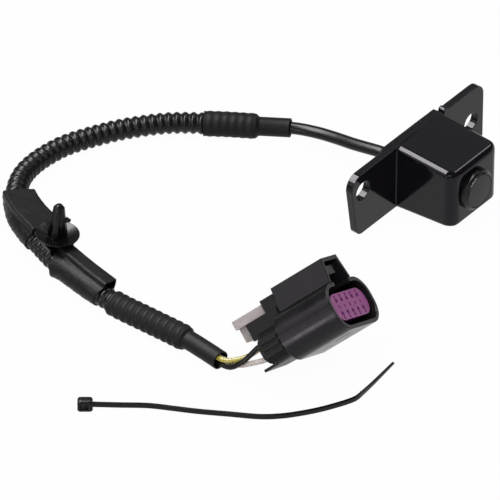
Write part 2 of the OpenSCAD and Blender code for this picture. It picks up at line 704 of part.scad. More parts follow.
// Tape pulled round the conduit below and the strip above
function clear_of(p, r) = p * max(1, r / norm(p));
function past(p, r) = acos(min(1, r / norm(p)));
function tape_outline(gap, s) = let (r = (conduit_r + gap) / cos(16), side = side_at(s),
        half = strip_w_at(s) / 2 + gap, low = strip_v - tape_tuck,
        left = clear_of([side - half, low], r), right = clear_of([side + half, low], r),
        from = atan2(left.y, left.x) + past(left, r) + 6,
        to = atan2(right.y, right.x) - past(right, r) + 354)
    concat([for (i = [0:7]) let (a = from + (to - from) * i / 7) r * [cos(a), sin(a)]],
        [right, [side + half, strip_top + gap], [side - half, strip_top + gap], left]);

function tape_rings(ends, gap) = [for (s = steps(ends[0], ends[1], tape_step))
    ring(route_path, s, tape_outline(gap, s), clip_lean)];

module tape(ends) color("#222122") skin(tape_rings(ends, tape_gap + tape_t), tape_rings(ends, tape_gap));

module bend_tape() tape(bend_tape_at);

module clip_tape() tape(clip_tape_at);

function strip_outline(s) = let (side = side_at(s), half = strip_w_at(s) / 2)
    [[side - half, strip_v], [side + half, strip_v], [side + half, strip_top], [side - half, strip_top]];

module at_clip() {
    h = heading(route_path, clip_at);
    translate(at(route_path, clip_at)) rotate([-clip_lean, 0, atan2(h.y, h.x)])
        translate([0, clip_side, 0]) children();
}

module push_in_clip() color("#1d1d1e") {
    skin([for (s = concat(steps(strip_at[0], strip_end, strip_step),
        steps(strip_end + 0.05, strip_at[1], strip_step)))
        ring(route_path, s, strip_outline(s), clip_lean)]);
    at_clip() {
        dish_low = strip_top + pedestal_h;
        rim = dish_low + dish_rise;
        translate([0, 0, strip_top - strip_t / 2])
            cylinder(d = dish_root_d, h = strip_t / 2 + pedestal_h + dish_t);
        rotate_extrude() polygon([[0, dish_low], [dish_root_d / 2, dish_low], [dish_d / 2, rim - dish_t / 2],
            [dish_d / 2, rim], [dish_root_d / 2, dish_low + dish_t], [0, dish_low + dish_t]]);
        intersection() {
            translate([0, 0, dish_low + dish_t / 2]) rotate_extrude() polygon([[0, 0], [post_d / 2, 0],
                [post_d / 2 - 0.3, 3], [post_tip_d / 2, post_len + dish_rise - 1.4],
                [post_tip_d / 4, post_len + dish_rise - 0.4], [0, post_len + dish_rise - 0.2]]);
            for (a = [0, 90]) rotate([0, 0, a + 45]) translate([-post_d / 2, -fin_t / 2, 0])
                cube([post_d, fin_t, rim + post_len + 1]);
        }
        translate([0, 0, dish_low])
            cylinder(d1 = post_d * 0.62, d2 = post_tip_d * 0.7, h = post_len + dish_rise - 1.2);
        rotate([0, 0, 45]) translate([post_d / 2 - 0.9, -fin_t / 2, rim + post_len * 0.45])
            rotate([90, 0, 0]) mirror([0, 0, 1]) linear_extrude(fin_t)
                polygon([[0, 0], [barb_w, 0.7], [0, 1.6]]);
        translate([0, 0, strip_top - tab_d / 2]) rotate([-90, 0, 0])
            cylinder(d = tab_d * 0.8, h = strip_w / 2 + tab_out);
    }
}

// Plug. Lengths in the plug's own frame run back from its mouth

module at_plug() translate(plug_pos) rotate(plug_turn) children();

function turn_x(p, a) = [p.x, p.y * cos(a) - p.z * sin(a), p.y * sin(a) + p.z * cos(a)];
function turn_y(p, a) = [p.x * cos(a) + p.z * sin(a), p.y, p.z * cos(a) - p.x * sin(a)];
function turn_z(p, a) = [p.x * cos(a) - p.y * sin(a), p.x * sin(a) + p.y * cos(a), p.z];
function plug_point(p) = plug_pos + turn_z(turn_y(turn_x(p, plug_turn.x), plug_turn.y), plug_turn.z);
function cavity_at(c) = [c.x * terminal_pitch, c.y * row_gap / 2];

all_cavities = [for (i = [0:columns - 1], row = [-1, 1]) [i - (columns - 1) / 2, row]];
wired = [black_cavity, white_cavity, yellow_cavity];

module at_cavities(list) for (c = list) translate([cavity_at(c).x, 0, cavity_at(c).y]) children();

module tower_outline(inset) {
    foot = inset > 0 ? tower_floor : tower_floor - shroud_wall / 2;
    polygon([[-tower_foot_w / 2 + inset, foot], [tower_foot_w / 2 - inset, foot],
        [tower_roof_w / 2 - inset, tower_top - inset], [-tower_roof_w / 2 + inset, tower_top - inset]]);
}

module plug_shroud() color("#2b2b2d") at_plug() difference() {
    union() {
        along_y(0, shroud_len) plate(shroud_w, shroud_h, shroud_r);
        along_y(0, tower_len) tower_outline(0);
    }
    along_y(-1, mouth_depth) plate(mouth_w, mouth_h, shroud_r - shroud_wall);
    along_y(-1, tower_len + 1) tower_outline(tower_wall);
    along_y(mouth_depth - 1, shroud_len + 1) plate(block_w + 2 * fit, block_h + 2 * fit, block_r + fit);
    translate([-latch_way_w / 2, -1, mouth_h / 2 - 1])
        cube([latch_way_w, latch_way_len + 1, shroud_wall + 2]);
    translate([-window_w / 2, window_y[0], tower_ceiling - 1])
        cube([window_w, window_y[1] - window_y[0], tower_wall + 2]);
    translate([-pivot_half, pivot_y, pivot_h]) rotate([0, 90, 0])
        cylinder(d = pivot_d + 2 * pivot_fit, h = 2 * pivot_half);
    for (s = [-1, 1]) along_y(-1, tower_len + 1) translate([s * tower_foot_w / 2, tower_floor])
        rotate(45) square(foot_groove, center = true);
    translate([slit_pos.x, slit_pos.y, -shroud_h / 2 - 1]) cube([slit_size.x, slit_size.y, shroud_wall + 2]);
}

module terminal_block() color("#232325") at_plug() difference() {
    union() {
        along_y(block_front, shroud_len + 1) plate(block_w, block_h, block_r);
        along_y(shroud_len, rear_block_end) plate(rear_block_w, rear_block_h, block_r);
        along_y(shroud_len, bridge_end) translate([-bridge_w / 2, block_h / 2])
            square([bridge_w, bridge_top - block_h / 2]);
        for (s = [-1, 1], i = [0:grip_ribs - 1])
            translate([s * rear_block_w / 2 - 1.1, shroud_len + grip_from, (i - 1) * grip_pitch - grip_w / 2])
                cube([2.2, rear_block_len - grip_from, grip_w]);
        for (s = [-1, 1]) translate([s * (bridge_w + tongue_w + 0.8) / 4, shroud_len, bridge_top - 0.5])
            translate([-(bridge_w - tongue_w - 0.8) / 4, 0, 0])
            cube([(bridge_w - tongue_w - 0.8) / 2, bridge_end - shroud_len, rail_h + 0.5]);
        difference() {
            union() {
                translate([-hood_w / 2, shroud_len + 0.2, bridge_top - 0.5])
                    cube([hood_w, hood_end - shroud_len - 0.2, hood_top - bridge_top + 0.5]);
                translate([-hood_w / 2, hood_from, tower_floor + 0.2])
                    cube([hood_w, hood_end - hood_from, hood_top - tower_floor - 0.2]);
            }
            translate([-lock_w / 2 - 0.3, tower_len, bridge_top])
                cube([lock_w + 0.6, hood_end, lock_low + lock_h + 0.3 - bridge_top]);
        }
        translate([0, 0, -rear_block_h / 2]) linear_extrude(skirt_t)
            polygon([[-skirt_w / 2 - 1, rear_block_end - 1],
            [skirt_w / 2 - 0.5, rear_block_end - 1], [skirt_w / 2 - 2.5, cap_end + 1.5],
            [-skirt_w / 2 - 0.5, cap_end + skirt_out]]);
    }
    at_cavities(all_cavities) {
        along_y(block_front - 1, crimp_y + 1) square(cavity, center = true);
        along_y(crimp_y, pocket_y + 1) square(wire_way, center = true);
    }
    along_y(pocket_y, rear_block_end + 1) plate(pocket_w, pocket_h, pocket_r);
    translate([-leg_w / 2 - 0.3, leg_slot_from, leg_slot_low]) cube([leg_w + 0.6, bridge_end, bridge_top]);
    for (s = [-1, 1]) translate([s * retainer_peg_x, 0, 0])
        rod_y(block_front - 1, block_front + retainer_peg_len + 0.5, retainer_peg_d + 2 * pivot_fit);
}

module terminal_retainer() color("#9a569a") at_plug() difference() {
    union() {
        along_y(retainer_front, block_front - fit) plate(block_w, block_h, block_r);
        for (s = [-1, 1]) translate([s * retainer_peg_x, 0, 0])
            rod_y(block_front - 1, block_front + retainer_peg_len, retainer_peg_d);
    }
    at_cavities(all_cavities) along_y(0, block_front + 1) square(blade_slot, center = true);
    for (c = all_cavities) translate([cavity_at(c).x, 0, cavity_at(c).y + c.y * probe_out])
        along_y(0, block_front + 1) square(probe_slot, center = true);
    for (c = all_cavities) if (c.y > 0) translate([cavity_at(c).x, 0, 0])
        along_y(retainer_front - 1, retainer_front + mark_depth) square(mark, center = true);
}

module shroud_seal() color("#3d3d40") at_plug() difference() {
    union() {
        along_y(collar_at, collar_at + collar_len)
            plate(block_w + 2 * collar_t, block_h + 2 * collar_t, block_r + collar_t);
        for (y = collar_lips) along_y(collar_at + y, collar_at + y + collar_t)
            plate(mouth_w - 2 * fit, block_h + 2 * lip_out, block_r + lip_out);
    }
    along_y(collar_at - 1, collar_at + collar_len + 1) plate(block_w + fit, block_h + fit, block_r + fit / 2);
}

module wire_seal() color("#7a3f3a") at_plug() difference() {
    along_y(pocket_y, pocket_y + seal_len) plate(pocket_w - 2 * fit, pocket_h - 2 * fit, pocket_r - fit);
    at_cavities(all_cavities) rod_y(pocket_y - 1, pocket_y + seal_len + 1, seal_hole_d);
}

module rear_cap() color("#232325") at_plug() difference() {
    union() {
        along_y(rear_block_end - cap_plate, rear_block_end)
            plate(pocket_w - 2 * fit, pocket_h - 2 * fit, pocket_r - fit);
        along_y(rear_block_end, cap_end) plate(pocket_w + 1.6, pocket_h + 0.4, pocket_r + 0.2);
    }
    at_cavities(all_cavities) rod_y(rear_block_end - cap_plate - 1, cap_end + 1, cap_hole_d);
}

function is_wired(c) = len([for (w = wired) if (w == c) w]) > 0;

module cavity_plugs() color("#c9c4bb") at_plug() at_cavities([for (c = all_cavities) if (!is_wired(c)) c]) {
    rod_y(pocket_y + 0.4, cap_end - 0.4, seal_hole_d - fit);
}

module terminals() color("#b9a27a") at_plug() at_cavities(wired) difference() {
    along_y(crimp_y - fit - terminal_len, crimp_y - fit) square(terminal_w, center = true);
    along_y(crimp_y - terminal_len - 1, crimp_y - terminal_len * 0.4) square(terminal_w * 0.6, center = true);
}

module latch_lever() color("#262628") at_plug() {
    translate([-lever_w / 2, lever_front, lever_top - lever_t])
        cube([lever_w, lever_rear - lever_front, lever_t]);
    translate([-lever_w / 2, pad_from, lever_top - lever_t / 2])
        cube([lever_w, lever_rear - pad_from, tower_top - lever_top + lever_t / 2 - 0.4]);
    translate([-catch_w / 2, lever_front, lever_top - lever_t - catch_drop])
        cube([catch_w, catch_len, catch_drop + lever_t / 2]);
    translate([-pivot_half + fit, pivot_y, pivot_h]) rotate([0, 90, 0])
        cylinder(d = pivot_d, h = 2 * pivot_half - 2 * fit);
}

module slide_lock() color("#b5acab") at_plug() {
    translate([-lock_w / 2, bar_front, lock_low]) cube([lock_w, lock_len, lock_h]);
    translate([-tongue_w / 2, tongue_from, tongue_low])
        cube([tongue_w, lock_front + 3 - tongue_from, tongue_t]);
    translate([-leg_w / 2, leg_from, leg_low]) cube([leg_w, leg_to - leg_from, lock_low + 0.5 - leg_low]);
}

// Wires from the sleeve to the plug

function in_sleeve(turn) = [for (s = [wires_start, wires_start + 4, rear_sleeve_at[1] - 0.6])
    ring(route_path, s, [wire_spread * [cos(turn), sin(turn)]])[0]];
function in_plug(c) = [for (y = [cap_end + wire_out, cap_end, (cap_end + crimp_y) / 2, crimp_y + fit])
    plug_point([cavity_at(c).x, y, cavity_at(c).y])];

module wire(turn, mid, c) {
    way = path(concat(in_sleeve(turn), mid, in_plug(c)));
    skin([for (s = steps(0, path_len(way), wire_step)) ring(way, s, round_outline(wire_d / 2, wire_sides))]);
}

module black_wire() color("#1a1a1a") wire(235, black_mid, black_cavity);

module yellow_wire() color("#d6c860") wire(115, yellow_mid, yellow_cavity);

module white_wire() color("#e6dcd8") wire(355, white_mid, white_cavity);

// Cable tie

function strap_outline(t, w) = [[-t / 2, -w / 2], [t / 2, -w / 2], [t / 2, w / 2], [-t / 2, w / 2]];
function strap_w(s) = s > path_len(tie_path) - tie_tail ? tie_tip_w + (tie_w - tie_tip_w)
    * (path_len(tie_path) - s) / tie_tail : tie_w;

module at_tie_head() translate(head_pos) rotate([0, 0, tie_heading]) children();

module cable_tie() color("#1c1c1c") {
    skin([for (s = steps(0, path_len(tie_path), tie_step))
        ring(tie_path, s, strap_outline(tie_t, strap_w(s)))]);
    at_tie_head() difference() {
        translate([0, 0, tie_head_h / 2]) along_y(-tie_head_t / 2, tie_head_t / 2)
            plate(tie_head_w, tie_head_h, 0.5);
        translate([pawl_x - tie_slot_w - pawl_t, -tie_head_t, (tie_head_h - tie_slot_h) / 2])
            cube([tie_slot_w + pawl_t + 0.15, 2 * tie_head_t, tie_slot_h]);
        translate([pawl_x, pawl_y, (tie_head_h - tie_slot_h) / 2])
            cylinder(d = pawl_pivot_d + 2 * pivot_fit, h = tie_slot_h);
    }
}

module tie_pawl() color("#2a2a2a") at_tie_head() translate([pawl_x, pawl_y, (tie_head_h - pawl_w) / 2]) {
    cylinder(d = pawl_pivot_d, h = pawl_w);
    translate([-pawl_t, 0, 0]) cube([pawl_t, pawl_len, pawl_w]);
}

front_housing();
lens_barrel();
cover_glass();
lens_seal();
front_lens();
lens_spacer();
rear_lens();
lens_retaining_ring();
barrel_nut();
lens_holder();
image_sensor();
sensor_board();
board_spacers();
video_board();
video_chip();
cable_header();
cover_gasket();
rear_cover();
cover_screws();
cable_gland();
camera_cable();
front_sleeve();
corrugated_conduit();
bend_tape();
push_in_clip();
clip_tape();
rear_sleeve();
black_wire();
yellow_wire();
white_wire();
plug_shroud();
terminal_block();
terminal_retainer();
shroud_seal();
wire_seal();
cavity_plugs();
rear_cap();
terminals();
latch_lever();
slide_lock();
cable_tie();
tie_pawl();
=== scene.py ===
# %% [markdown]
# # A rear-view camera kit
# The construction model already holds every piece at its real size. This lesson gives those
# pieces their surfaces: soft edges, ribs, tape folds and finishes.

# %% Load the construction model
import json
import math

import bmesh
import bpy
import numpy as np
from mathutils import Matrix, Vector, noise


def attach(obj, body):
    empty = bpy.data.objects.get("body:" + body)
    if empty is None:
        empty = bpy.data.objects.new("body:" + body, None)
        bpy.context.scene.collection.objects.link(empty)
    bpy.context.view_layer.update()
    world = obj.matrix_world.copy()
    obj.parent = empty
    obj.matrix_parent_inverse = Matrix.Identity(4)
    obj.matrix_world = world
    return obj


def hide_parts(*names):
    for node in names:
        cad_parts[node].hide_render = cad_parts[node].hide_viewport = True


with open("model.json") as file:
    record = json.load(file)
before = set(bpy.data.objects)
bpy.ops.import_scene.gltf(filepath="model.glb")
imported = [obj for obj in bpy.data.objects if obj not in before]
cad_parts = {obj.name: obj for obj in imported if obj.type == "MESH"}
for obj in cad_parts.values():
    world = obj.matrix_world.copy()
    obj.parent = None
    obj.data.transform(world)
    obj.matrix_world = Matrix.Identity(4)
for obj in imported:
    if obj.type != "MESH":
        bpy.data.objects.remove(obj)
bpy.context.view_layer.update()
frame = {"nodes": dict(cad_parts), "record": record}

MM = 0.001
scene = bpy.context.scene
nodes = frame["nodes"]

# %% [markdown]
# ## The camera
# The photograph was taken from far away with a long lens, so parallel edges stay parallel in it.
# A camera close by with a short lens would splay them. A long lens at 2.5 metres keeps them true,
# and its focal length follows from how many millimetres the picture is wide.

# %% Camera at the photograph's angle
PICTURE_SIDE_MM = 158.2
LOOK_AT = Vector((-57.0, 20.75, 0.0)) * MM
AZIMUTH = math.radians(-50.46)
ELEVATION = math.radians(39.08)
CAMERA_DISTANCE = 2.5
SENSOR_MM = 36


def direction(azimuth, elevation):
    """The unit vector from the object towards a viewer or a lamp; azimuth 0 is in front."""
    flat = math.cos(elevation)
    return Vector((math.sin(azimuth) * flat, -math.cos(azimuth) * flat, math.sin(elevation)))


to_camera = direction(AZIMUTH, ELEVATION)
camera_data = bpy.data.cameras.new("photo_camera")
camera_data.sensor_width = SENSOR_MM
camera_data.lens = SENSOR_MM * CAMERA_DISTANCE / (PICTURE_SIDE_MM * MM)
camera_data.clip_end = 100
camera = bpy.data.objects.new("photo_camera", camera_data)
camera.location = LOOK_AT + to_camera * CAMERA_DISTANCE
camera.rotation_euler = to_camera.to_track_quat("Z", "Y").to_euler()
scene.collection.objects.link(camera)
scene.camera = camera
scene.view_settings.view_transform = "Standard"
print("lens", round(camera_data.lens, 1), "mm")

# %% [markdown]
# ## Paths
# The lead and the tie follow lines through listed points. A Bezier curve could hold them,
# but tapes and ribs have to start at measured lengths along the line. A small class that smooths
# the points and reads a place by its length along them serves every piece.


# %% A smooth line read by length
class Path:
    """A smooth line through given points, in millimetres, read by the length along it."""

    LEGS = 8
    LOOK = 0.4

    def __init__(self, points):
        p = [np.array(q, float) for q in points]
        p = [2 * p[0] - p[1], *p, 2 * p[-1] - p[-2]]
        line = [self.leg(*p[i:i + 4], k / self.LEGS)
                for i in range(len(p) - 3) for k in range(self.LEGS)]
        self.line = np.array([*line, p[-2]])
        steps = np.linalg.norm(np.diff(self.line, axis=0), axis=1)
        self.reach = np.concatenate([[0], np.cumsum(steps)])
        self.length = float(self.reach[-1])

    @staticmethod
    def leg(a, b, c, d, t):
        """A point between b and c on a smooth curve that also heeds a and d."""
        bend = (2 * a - 5 * b + 4 * c - d) * t * t + (3 * b - a - 3 * c + d) * t ** 3
        return 0.5 * (2 * b + (c - a) * t + bend)

    def at(self, s):
        return Vector([np.interp(s, self.reach, self.line[:, axis]) for axis in range(3)])

    def axes(self, s):
        """Heading, sideways and upward directions at a length along the path."""
        heading = (self.at(s + self.LOOK) - self.at(s - self.LOOK)).normalized()
        side = Vector((0, 0, 1)).cross(heading).normalized()
        return heading, side, heading.cross(side)

    def point(self, s, x, y, lean=0.0):
        """A point x sideways and y upward of the path, both turned by the lean."""
        heading, side, up = self.axes(s)
        c, n = math.cos(lean), math.sin(lean)
        return self.at(s) + (x * c + y * n) * side + (y * c - x * n) * up

    def stretch(self, start, end, step):
        """Evenly spaced points in metres from one length to another, in either direction."""
        count = max(2, round(abs(end - start) / step))
        return [self.at(start + (end - start) * i / count) * MM for i in range(count + 1)]


GLAND_Z = 8.5
TABLE_Z = 4.3
lead = Path([(0, -2.3, GLAND_Z), (0, 4, GLAND_Z), (0, 9, GLAND_Z), (0, 13, GLAND_Z), (-0.5, 18, 7.9),
             (-1, 24, 7), (-1.2, 31, 6), (-2, 38, 5.2), (-4, 45, 4.6)] + [(x, y, TABLE_Z) for x, y in (
    (-7.5, 51), (-12, 57.5), (-16, 63.5), (-20, 69), (-24, 74.5), (-28.5, 79.5), (-34.5, 84.5),
    (-41, 89), (-48.5, 93), (-56.5, 96.5), (-63, 98), (-70.5, 98.5), (-77.5, 97.5), (-84, 94.5),
    (-91, 89), (-96.5, 81.5), (-100, 73), (-102.5, 66.5), (-104.5, 60), (-106.5, 49), (-108, 37),
    (-108.5, 31), (-108, 19.5), (-107.5, 6), (-108, -2.5), (-109, -12))])
TIE_Z = 1.0
tie_line = Path([(-148, 8.5, 2), (-143, 2.5, 1.7), (-137, -4.5, 1.3), (-133, -11, 1.1)] + [
    (x, y, TIE_Z) for x, y in ((-129, -18), (-124, -26), (-119, -34), (-114.5, -39), (-109.5, -43),
                               (-104, -46.6), (-98, -49.7), (-94.4, -51.2), (-92.4, -51.6), (-90, -51.5),
                               (-83.5, -51), (-72.5, -49.8))])
print("lead", round(lead.length, 1), "mm, tie", round(tie_line.length, 1), "mm")

# %% [markdown]
# ## Node trees written as sums
# Materials and Geometry Nodes are both graphs of sockets. Placing every Math node by hand is slow
# to read, so a small class lets a socket stand in a Python sum, and each operator adds its node.
# Every other kind of node comes from one method that takes its type, settings and socket values.


# %% Sockets as numbers
def operator(operation, reflected=False):
    """A method for one operator, which adds a Math node fed by both of its values."""
    def apply(self, other):
        pair = (other, self) if reflected else (self, other)
        return self.graph.node("ShaderNodeMath", {"operation": operation}, dict(enumerate(pair)))
    return apply


class Signal:
    """One output of a node, used in Python sums. Each operator adds a Math node to the tree."""

    def __init__(self, graph, socket):
        self.graph = graph
        self.socket = socket

    __add__ = operator("ADD")
    __radd__ = operator("ADD", reflected=True)
    __sub__ = operator("SUBTRACT")
    __rsub__ = operator("SUBTRACT", reflected=True)
    __mul__ = operator("MULTIPLY")
    __rmul__ = operator("MULTIPLY", reflected=True)
    __truediv__ = operator("DIVIDE")
    __rtruediv__ = operator("DIVIDE", reflected=True)
    __pow__ = operator("POWER")
    __rpow__ = operator("POWER", reflected=True)


class Graph:
    """A node tree that grows by sums and by its one node method."""

    def __init__(self, tree):
        self.tree = tree

    @staticmethod
    def find(sockets, key):
        """A socket by its place, its identifier or its name."""
        if isinstance(key, int):
            return sockets[key]
        return next((s for s in sockets if s.identifier == key), None) or sockets[key]

    def node(self, kind, settings=None, inputs=None, output=0):
        made = self.tree.nodes.new(kind)
        for name, value in (settings or {}).items():
            setattr(made, name, value)
        for key, value in (inputs or {}).items():
            self.feed(self.find(made.inputs, key), value)
        return Signal(self, self.find(made.outputs, output))

    def feed(self, socket, value):
        if isinstance(value, Signal):
            self.tree.links.new(value.socket, socket)
        else:
            socket.default_value = value

    def ramp(self, value, low, high):
        """0 below low, 1 above high, and an eased step between them."""
        settings = {"interpolation_type": "SMOOTHSTEP"}
        inputs = {"Value": value, "From Min": low, "From Max": high}
        return self.node("ShaderNodeMapRange", settings, inputs)


print("node helpers ready")

# %% [markdown]
# ## Finishes
# The housing is polished, the conduit half gloss, the sleeves dull, the plug fine-grained. One
# Finish class holds what they share: a slow change of tone, an uneven gloss such as handling leaves,
# and a moulded grain as bump. Each finish below then sets its own sizes, and adds what is special to
# it.


# %% A finish to build materials with
class Finish(Graph):
    """A material under construction: a Principled shader and the maths that feeds it."""

    def __init__(self, name, **constants):
        self.material = bpy.data.materials.new(name)
        self.material.use_nodes = True
        super().__init__(self.material.node_tree)
        self.shader = self.tree.nodes["Principled BSDF"]
        self.place = self.node("ShaderNodeTexCoord", output="Object")
        for socket, value in constants.items():
            self.set(socket.replace("_", " "), value)

    def set(self, socket, value):
        self.feed(self.shader.inputs[socket], value)

    def cloud(self, size, detail=2.0, stretch=None):
        """Noise from 0 to 1 with blobs of about that many millimetres."""
        place = self.place
        if stretch:
            place = self.node("ShaderNodeMapping", inputs={"Vector": place, "Scale": stretch})
        inputs = {"Vector": place, "Scale": 1 / (size * MM), "Detail": detail}
        return self.node("ShaderNodeTexNoise", inputs=inputs)

    def attribute(self, name):
        return self.node("ShaderNodeAttribute", {"attribute_name": name}, output="Fac")

    def blend(self, factor, a, b):
        inputs = {"Factor_Float": factor, "A_Color": a, "B_Color": b}
        return self.node("ShaderNodeMix", {"data_type": "RGBA"}, inputs, "Result_Color")

    def bump(self, height, depth):
        """Raises the surface by height times a depth in millimetres."""
        inputs = {"Distance": depth * MM, "Height": height}
        self.set("Normal", self.node("ShaderNodeBump", inputs=inputs))


print("finish class ready")


# %% A moulded finish
def tint(colour, share):
    """A colour made darker or lighter, with full alpha."""
    return (*(min(1.0, c * share) for c in colour[:3]), 1.0)


TONE_SIZE = 9
GLOSS_SIZE = 5


def moulded(name, colour, roughness, grain=0.25, depth=0.004, tone=0.2, gloss=0.08, **constants):
    """Moulded plastic or rubber: uneven tone, uneven gloss and a fine grain."""
    f = Finish(name, **constants)
    drift = f.cloud(TONE_SIZE, 3)
    f.set("Base Color", f.blend(drift, tint(colour, 1 - tone), tint(colour, 1 + tone)))
    f.set("Roughness", f.ramp(f.cloud(GLOSS_SIZE, 4), 0.3, 0.7) * gloss + (roughness - gloss / 2))
    f.bump(f.cloud(grain, 3), depth)
    return f


print("moulded finish ready")

# %% [markdown]
# The record names one finish for each kind of piece. A table gives the plain ones their colour,
# roughness and grain, in linear colour values, because that is what a shader's sockets hold.

# %% Plain moulded finishes
PURPLE_TINT = (0.99, 0.945, 1.0, 1.0)
finish = {
    "gloss_black": moulded("polished_housing", (0.0052, 0.0042, 0.0062), 0.09, grain=4, depth=0.0004,
                           gloss=0.03, Specular_IOR_Level=0.2, Specular_Tint=PURPLE_TINT),
    "satin_black": moulded("satin_barrel", (0.006, 0.006, 0.007), 0.28, grain=0.2, depth=0.002,
                           Specular_IOR_Level=0.25),
    "seal_rubber": moulded("seal_rubber", (0.016, 0.016, 0.016), 0.5, grain=0.3, depth=0.008),
    "sensor": moulded("image_sensor", (0.06, 0.08, 0.12), 0.15, depth=0.001),
    "chip": moulded("chip_epoxy", (0.02, 0.02, 0.02), 0.45),
    "header_plastic": moulded("header_plastic", (0.62, 0.58, 0.48), 0.4),
    "cable_jacket": moulded("cable_jacket", (0.006, 0.0055, 0.0058), 0.27, grain=0.5, depth=0.0003,
                            gloss=0.04, Specular_IOR_Level=0.2),
    "clip_plastic": moulded("clip_plastic", (0.005, 0.005, 0.0048), 0.25, grain=0.3, depth=0.0006,
                            Specular_IOR_Level=0.2),
    "wire_black": moulded("black_wire", (0.008, 0.007, 0.006), 0.3, grain=0.3, depth=0.0008,
                          Specular_IOR_Level=0.2),
    "wire_yellow": moulded("yellow_wire", (0.62, 0.53, 0.09), 0.34, grain=0.3, depth=0.0008, tone=0.1),
    "wire_white": moulded("white_wire", (0.80, 0.70, 0.66), 0.36, grain=0.3, depth=0.0008, tone=0.06),
    "plug_plastic": moulded("plug_plastic", (0.0125, 0.011, 0.0125), 0.27, grain=0.3, depth=0.004,
                            tone=0.12, Specular_IOR_Level=0.2, Specular_Tint=PURPLE_TINT),
    "block_plastic": moulded("block_plastic", (0.006, 0.0055, 0.0065), 0.4, grain=0.3, depth=0.004,
                             Specular_IOR_Level=0.16),
    "retainer_purple": moulded("retainer_purple", (0.30, 0.055, 0.24), 0.42, grain=0.18, depth=0.005,
                               tone=0.08),
    "wire_seal": moulded("wire_seal", (0.20, 0.05, 0.04), 0.5),
    "cavity_plug": moulded("cavity_plug", (0.55, 0.52, 0.47), 0.45, tone=0.08),
    "lock_grey": moulded("slide_lock_grey", (0.53, 0.465, 0.455), 0.48, grain=0.16, depth=0.005,
                         tone=0.05),
    "tie_plastic": moulded("tie_nylon", (0.0045, 0.0045, 0.0047), 0.28, grain=0.3, depth=0.002,
                           Specular_IOR_Level=0.2),
}
print(len(finish), "plain finishes")

# %% [markdown]
# The flexible pieces need more. Ribs gather dust in their grooves, and stretched tape shines on its
# creases. Painting that by hand would tie it to one shape, so an attribute and noise place it.

# %% Ribbed, shrunk and wrapped finishes
DUST = (0.05, 0.047, 0.044, 1)


def ribbed_finish(name, colour, roughness, groove, grain, depth, mirror):
    """Flexible tube: duller and dustier in the grooves, where the crest attribute is 0."""
    f = Finish(name, Specular_IOR_Level=mirror)
    crest = f.attribute("crest")
    dust = f.cloud(1.2, 4)
    tone = f.blend(f.cloud(14, 3), tint(colour, 0.85), tint(colour, 1.2))
    f.set("Base Color", f.blend((1 - crest) * dust * groove, tone, DUST))
    f.set("Roughness", roughness + (1 - crest) * 0.15 + (f.cloud(3, 3) - 0.5) * 0.12)
    f.bump(f.cloud(grain, 4), depth)
    return f


def tape_finish():
    """Wrapped vinyl tape: fine creases across it, glossier on the stretched ridges."""
    f = Finish("vinyl_tape", Specular_IOR_Level=0.14, Coat_Roughness=0.22)
    creases = f.cloud(2.2, 3, stretch=(1.0, 0.45, 1.6))
    f.set("Base Color", f.blend(f.cloud(7), (0.006, 0.006, 0.006, 1), (0.009, 0.009, 0.009, 1)))
    f.set("Coat Weight", f.ramp(creases, 0.55, 0.8) * 0.3)
    f.set("Roughness", 0.4 + f.ramp(creases, 0.35, 0.75) * 0.14)
    f.bump(creases + f.cloud(0.35, 3) * 0.1, 0.012)
    return f


finish["conduit"] = ribbed_finish("ribbed_conduit", (0.006, 0.006, 0.006), roughness=0.27, groove=0.12,
                                  grain=0.4, depth=0.003, mirror=0.22)
finish["sleeve"] = ribbed_finish("shrunk_sleeve", (0.008, 0.0075, 0.008), roughness=0.5, groove=0.12,
                                 grain=0.55, depth=0.02, mirror=0.14)
finish["tape"] = tape_finish()
print("flexible finishes:", [finish[k].material.name for k in ("conduit", "sleeve", "tape")])

# %% [markdown]
# Images could give them more detail. Noise and cell patterns need no file and stay sharp close up.

# %% Glass, metal and circuit board
BOARD_CELLS = 900


def glass_finish(name, colour, alpha):
    """Coated glass: a faint bloom, and less mirror than plain glass has."""
    f = Finish(name, Alpha=alpha, Specular_IOR_Level=0.18)
    f.set("Base Color", f.blend(f.cloud(4), tint(colour, 0.8), tint(colour, 1.2)))
    f.set("Roughness", 0.05 + f.cloud(2.5, 3) * 0.06)
    return f


def metal_finish(name, colour, roughness):
    """Turned or stamped metal: fine lines along Y and a little tarnish."""
    f = Finish(name, Metallic=1.0)
    lines = f.cloud(0.3, 2, stretch=(1, 0.08, 1))
    f.set("Base Color", f.blend(f.cloud(2), tint(colour, 0.75), tint(colour, 1.1)))
    f.set("Roughness", roughness + (lines - 0.5) * 0.2)
    f.bump(lines, 0.004)
    return f


def board_finish():
    """Solder mask: copper shapes show through the green as a paler, raised pattern."""
    f = Finish("circuit_board")
    cells = {"Vector": f.place, "Scale": BOARD_CELLS}
    grid = f.node("ShaderNodeTexVoronoi", {"distance": "CHEBYCHEV"}, cells)
    copper = f.ramp(grid, 0.25, 0.32)
    f.set("Base Color", f.blend(copper, (0.02, 0.14, 0.05, 1), (0.03, 0.22, 0.08, 1)))
    f.set("Roughness", 0.3 + copper * 0.12)
    f.bump(copper, 0.03)
    return f


finish["dark_glass"] = glass_finish("smoked_window", (0.010, 0.010, 0.012), 1.0)
finish["lens_glass"] = glass_finish("lens_glass", (0.55, 0.62, 0.66), 0.35)
finish["brass"] = metal_finish("brass_spacer", (0.72, 0.52, 0.22), 0.3)
finish["screw_steel"] = metal_finish("screw_steel", (0.55, 0.55, 0.57), 0.3)
finish["terminal_metal"] = metal_finish("tinned_terminal", (0.68, 0.62, 0.52), 0.28)
finish["board"] = board_finish()
for row in frame["record"]["subparts"]:
    material = finish[row["material_slot"]].material
    nodes[row["node"]].data.materials.clear()
    nodes[row["node"]].data.materials.append(material)

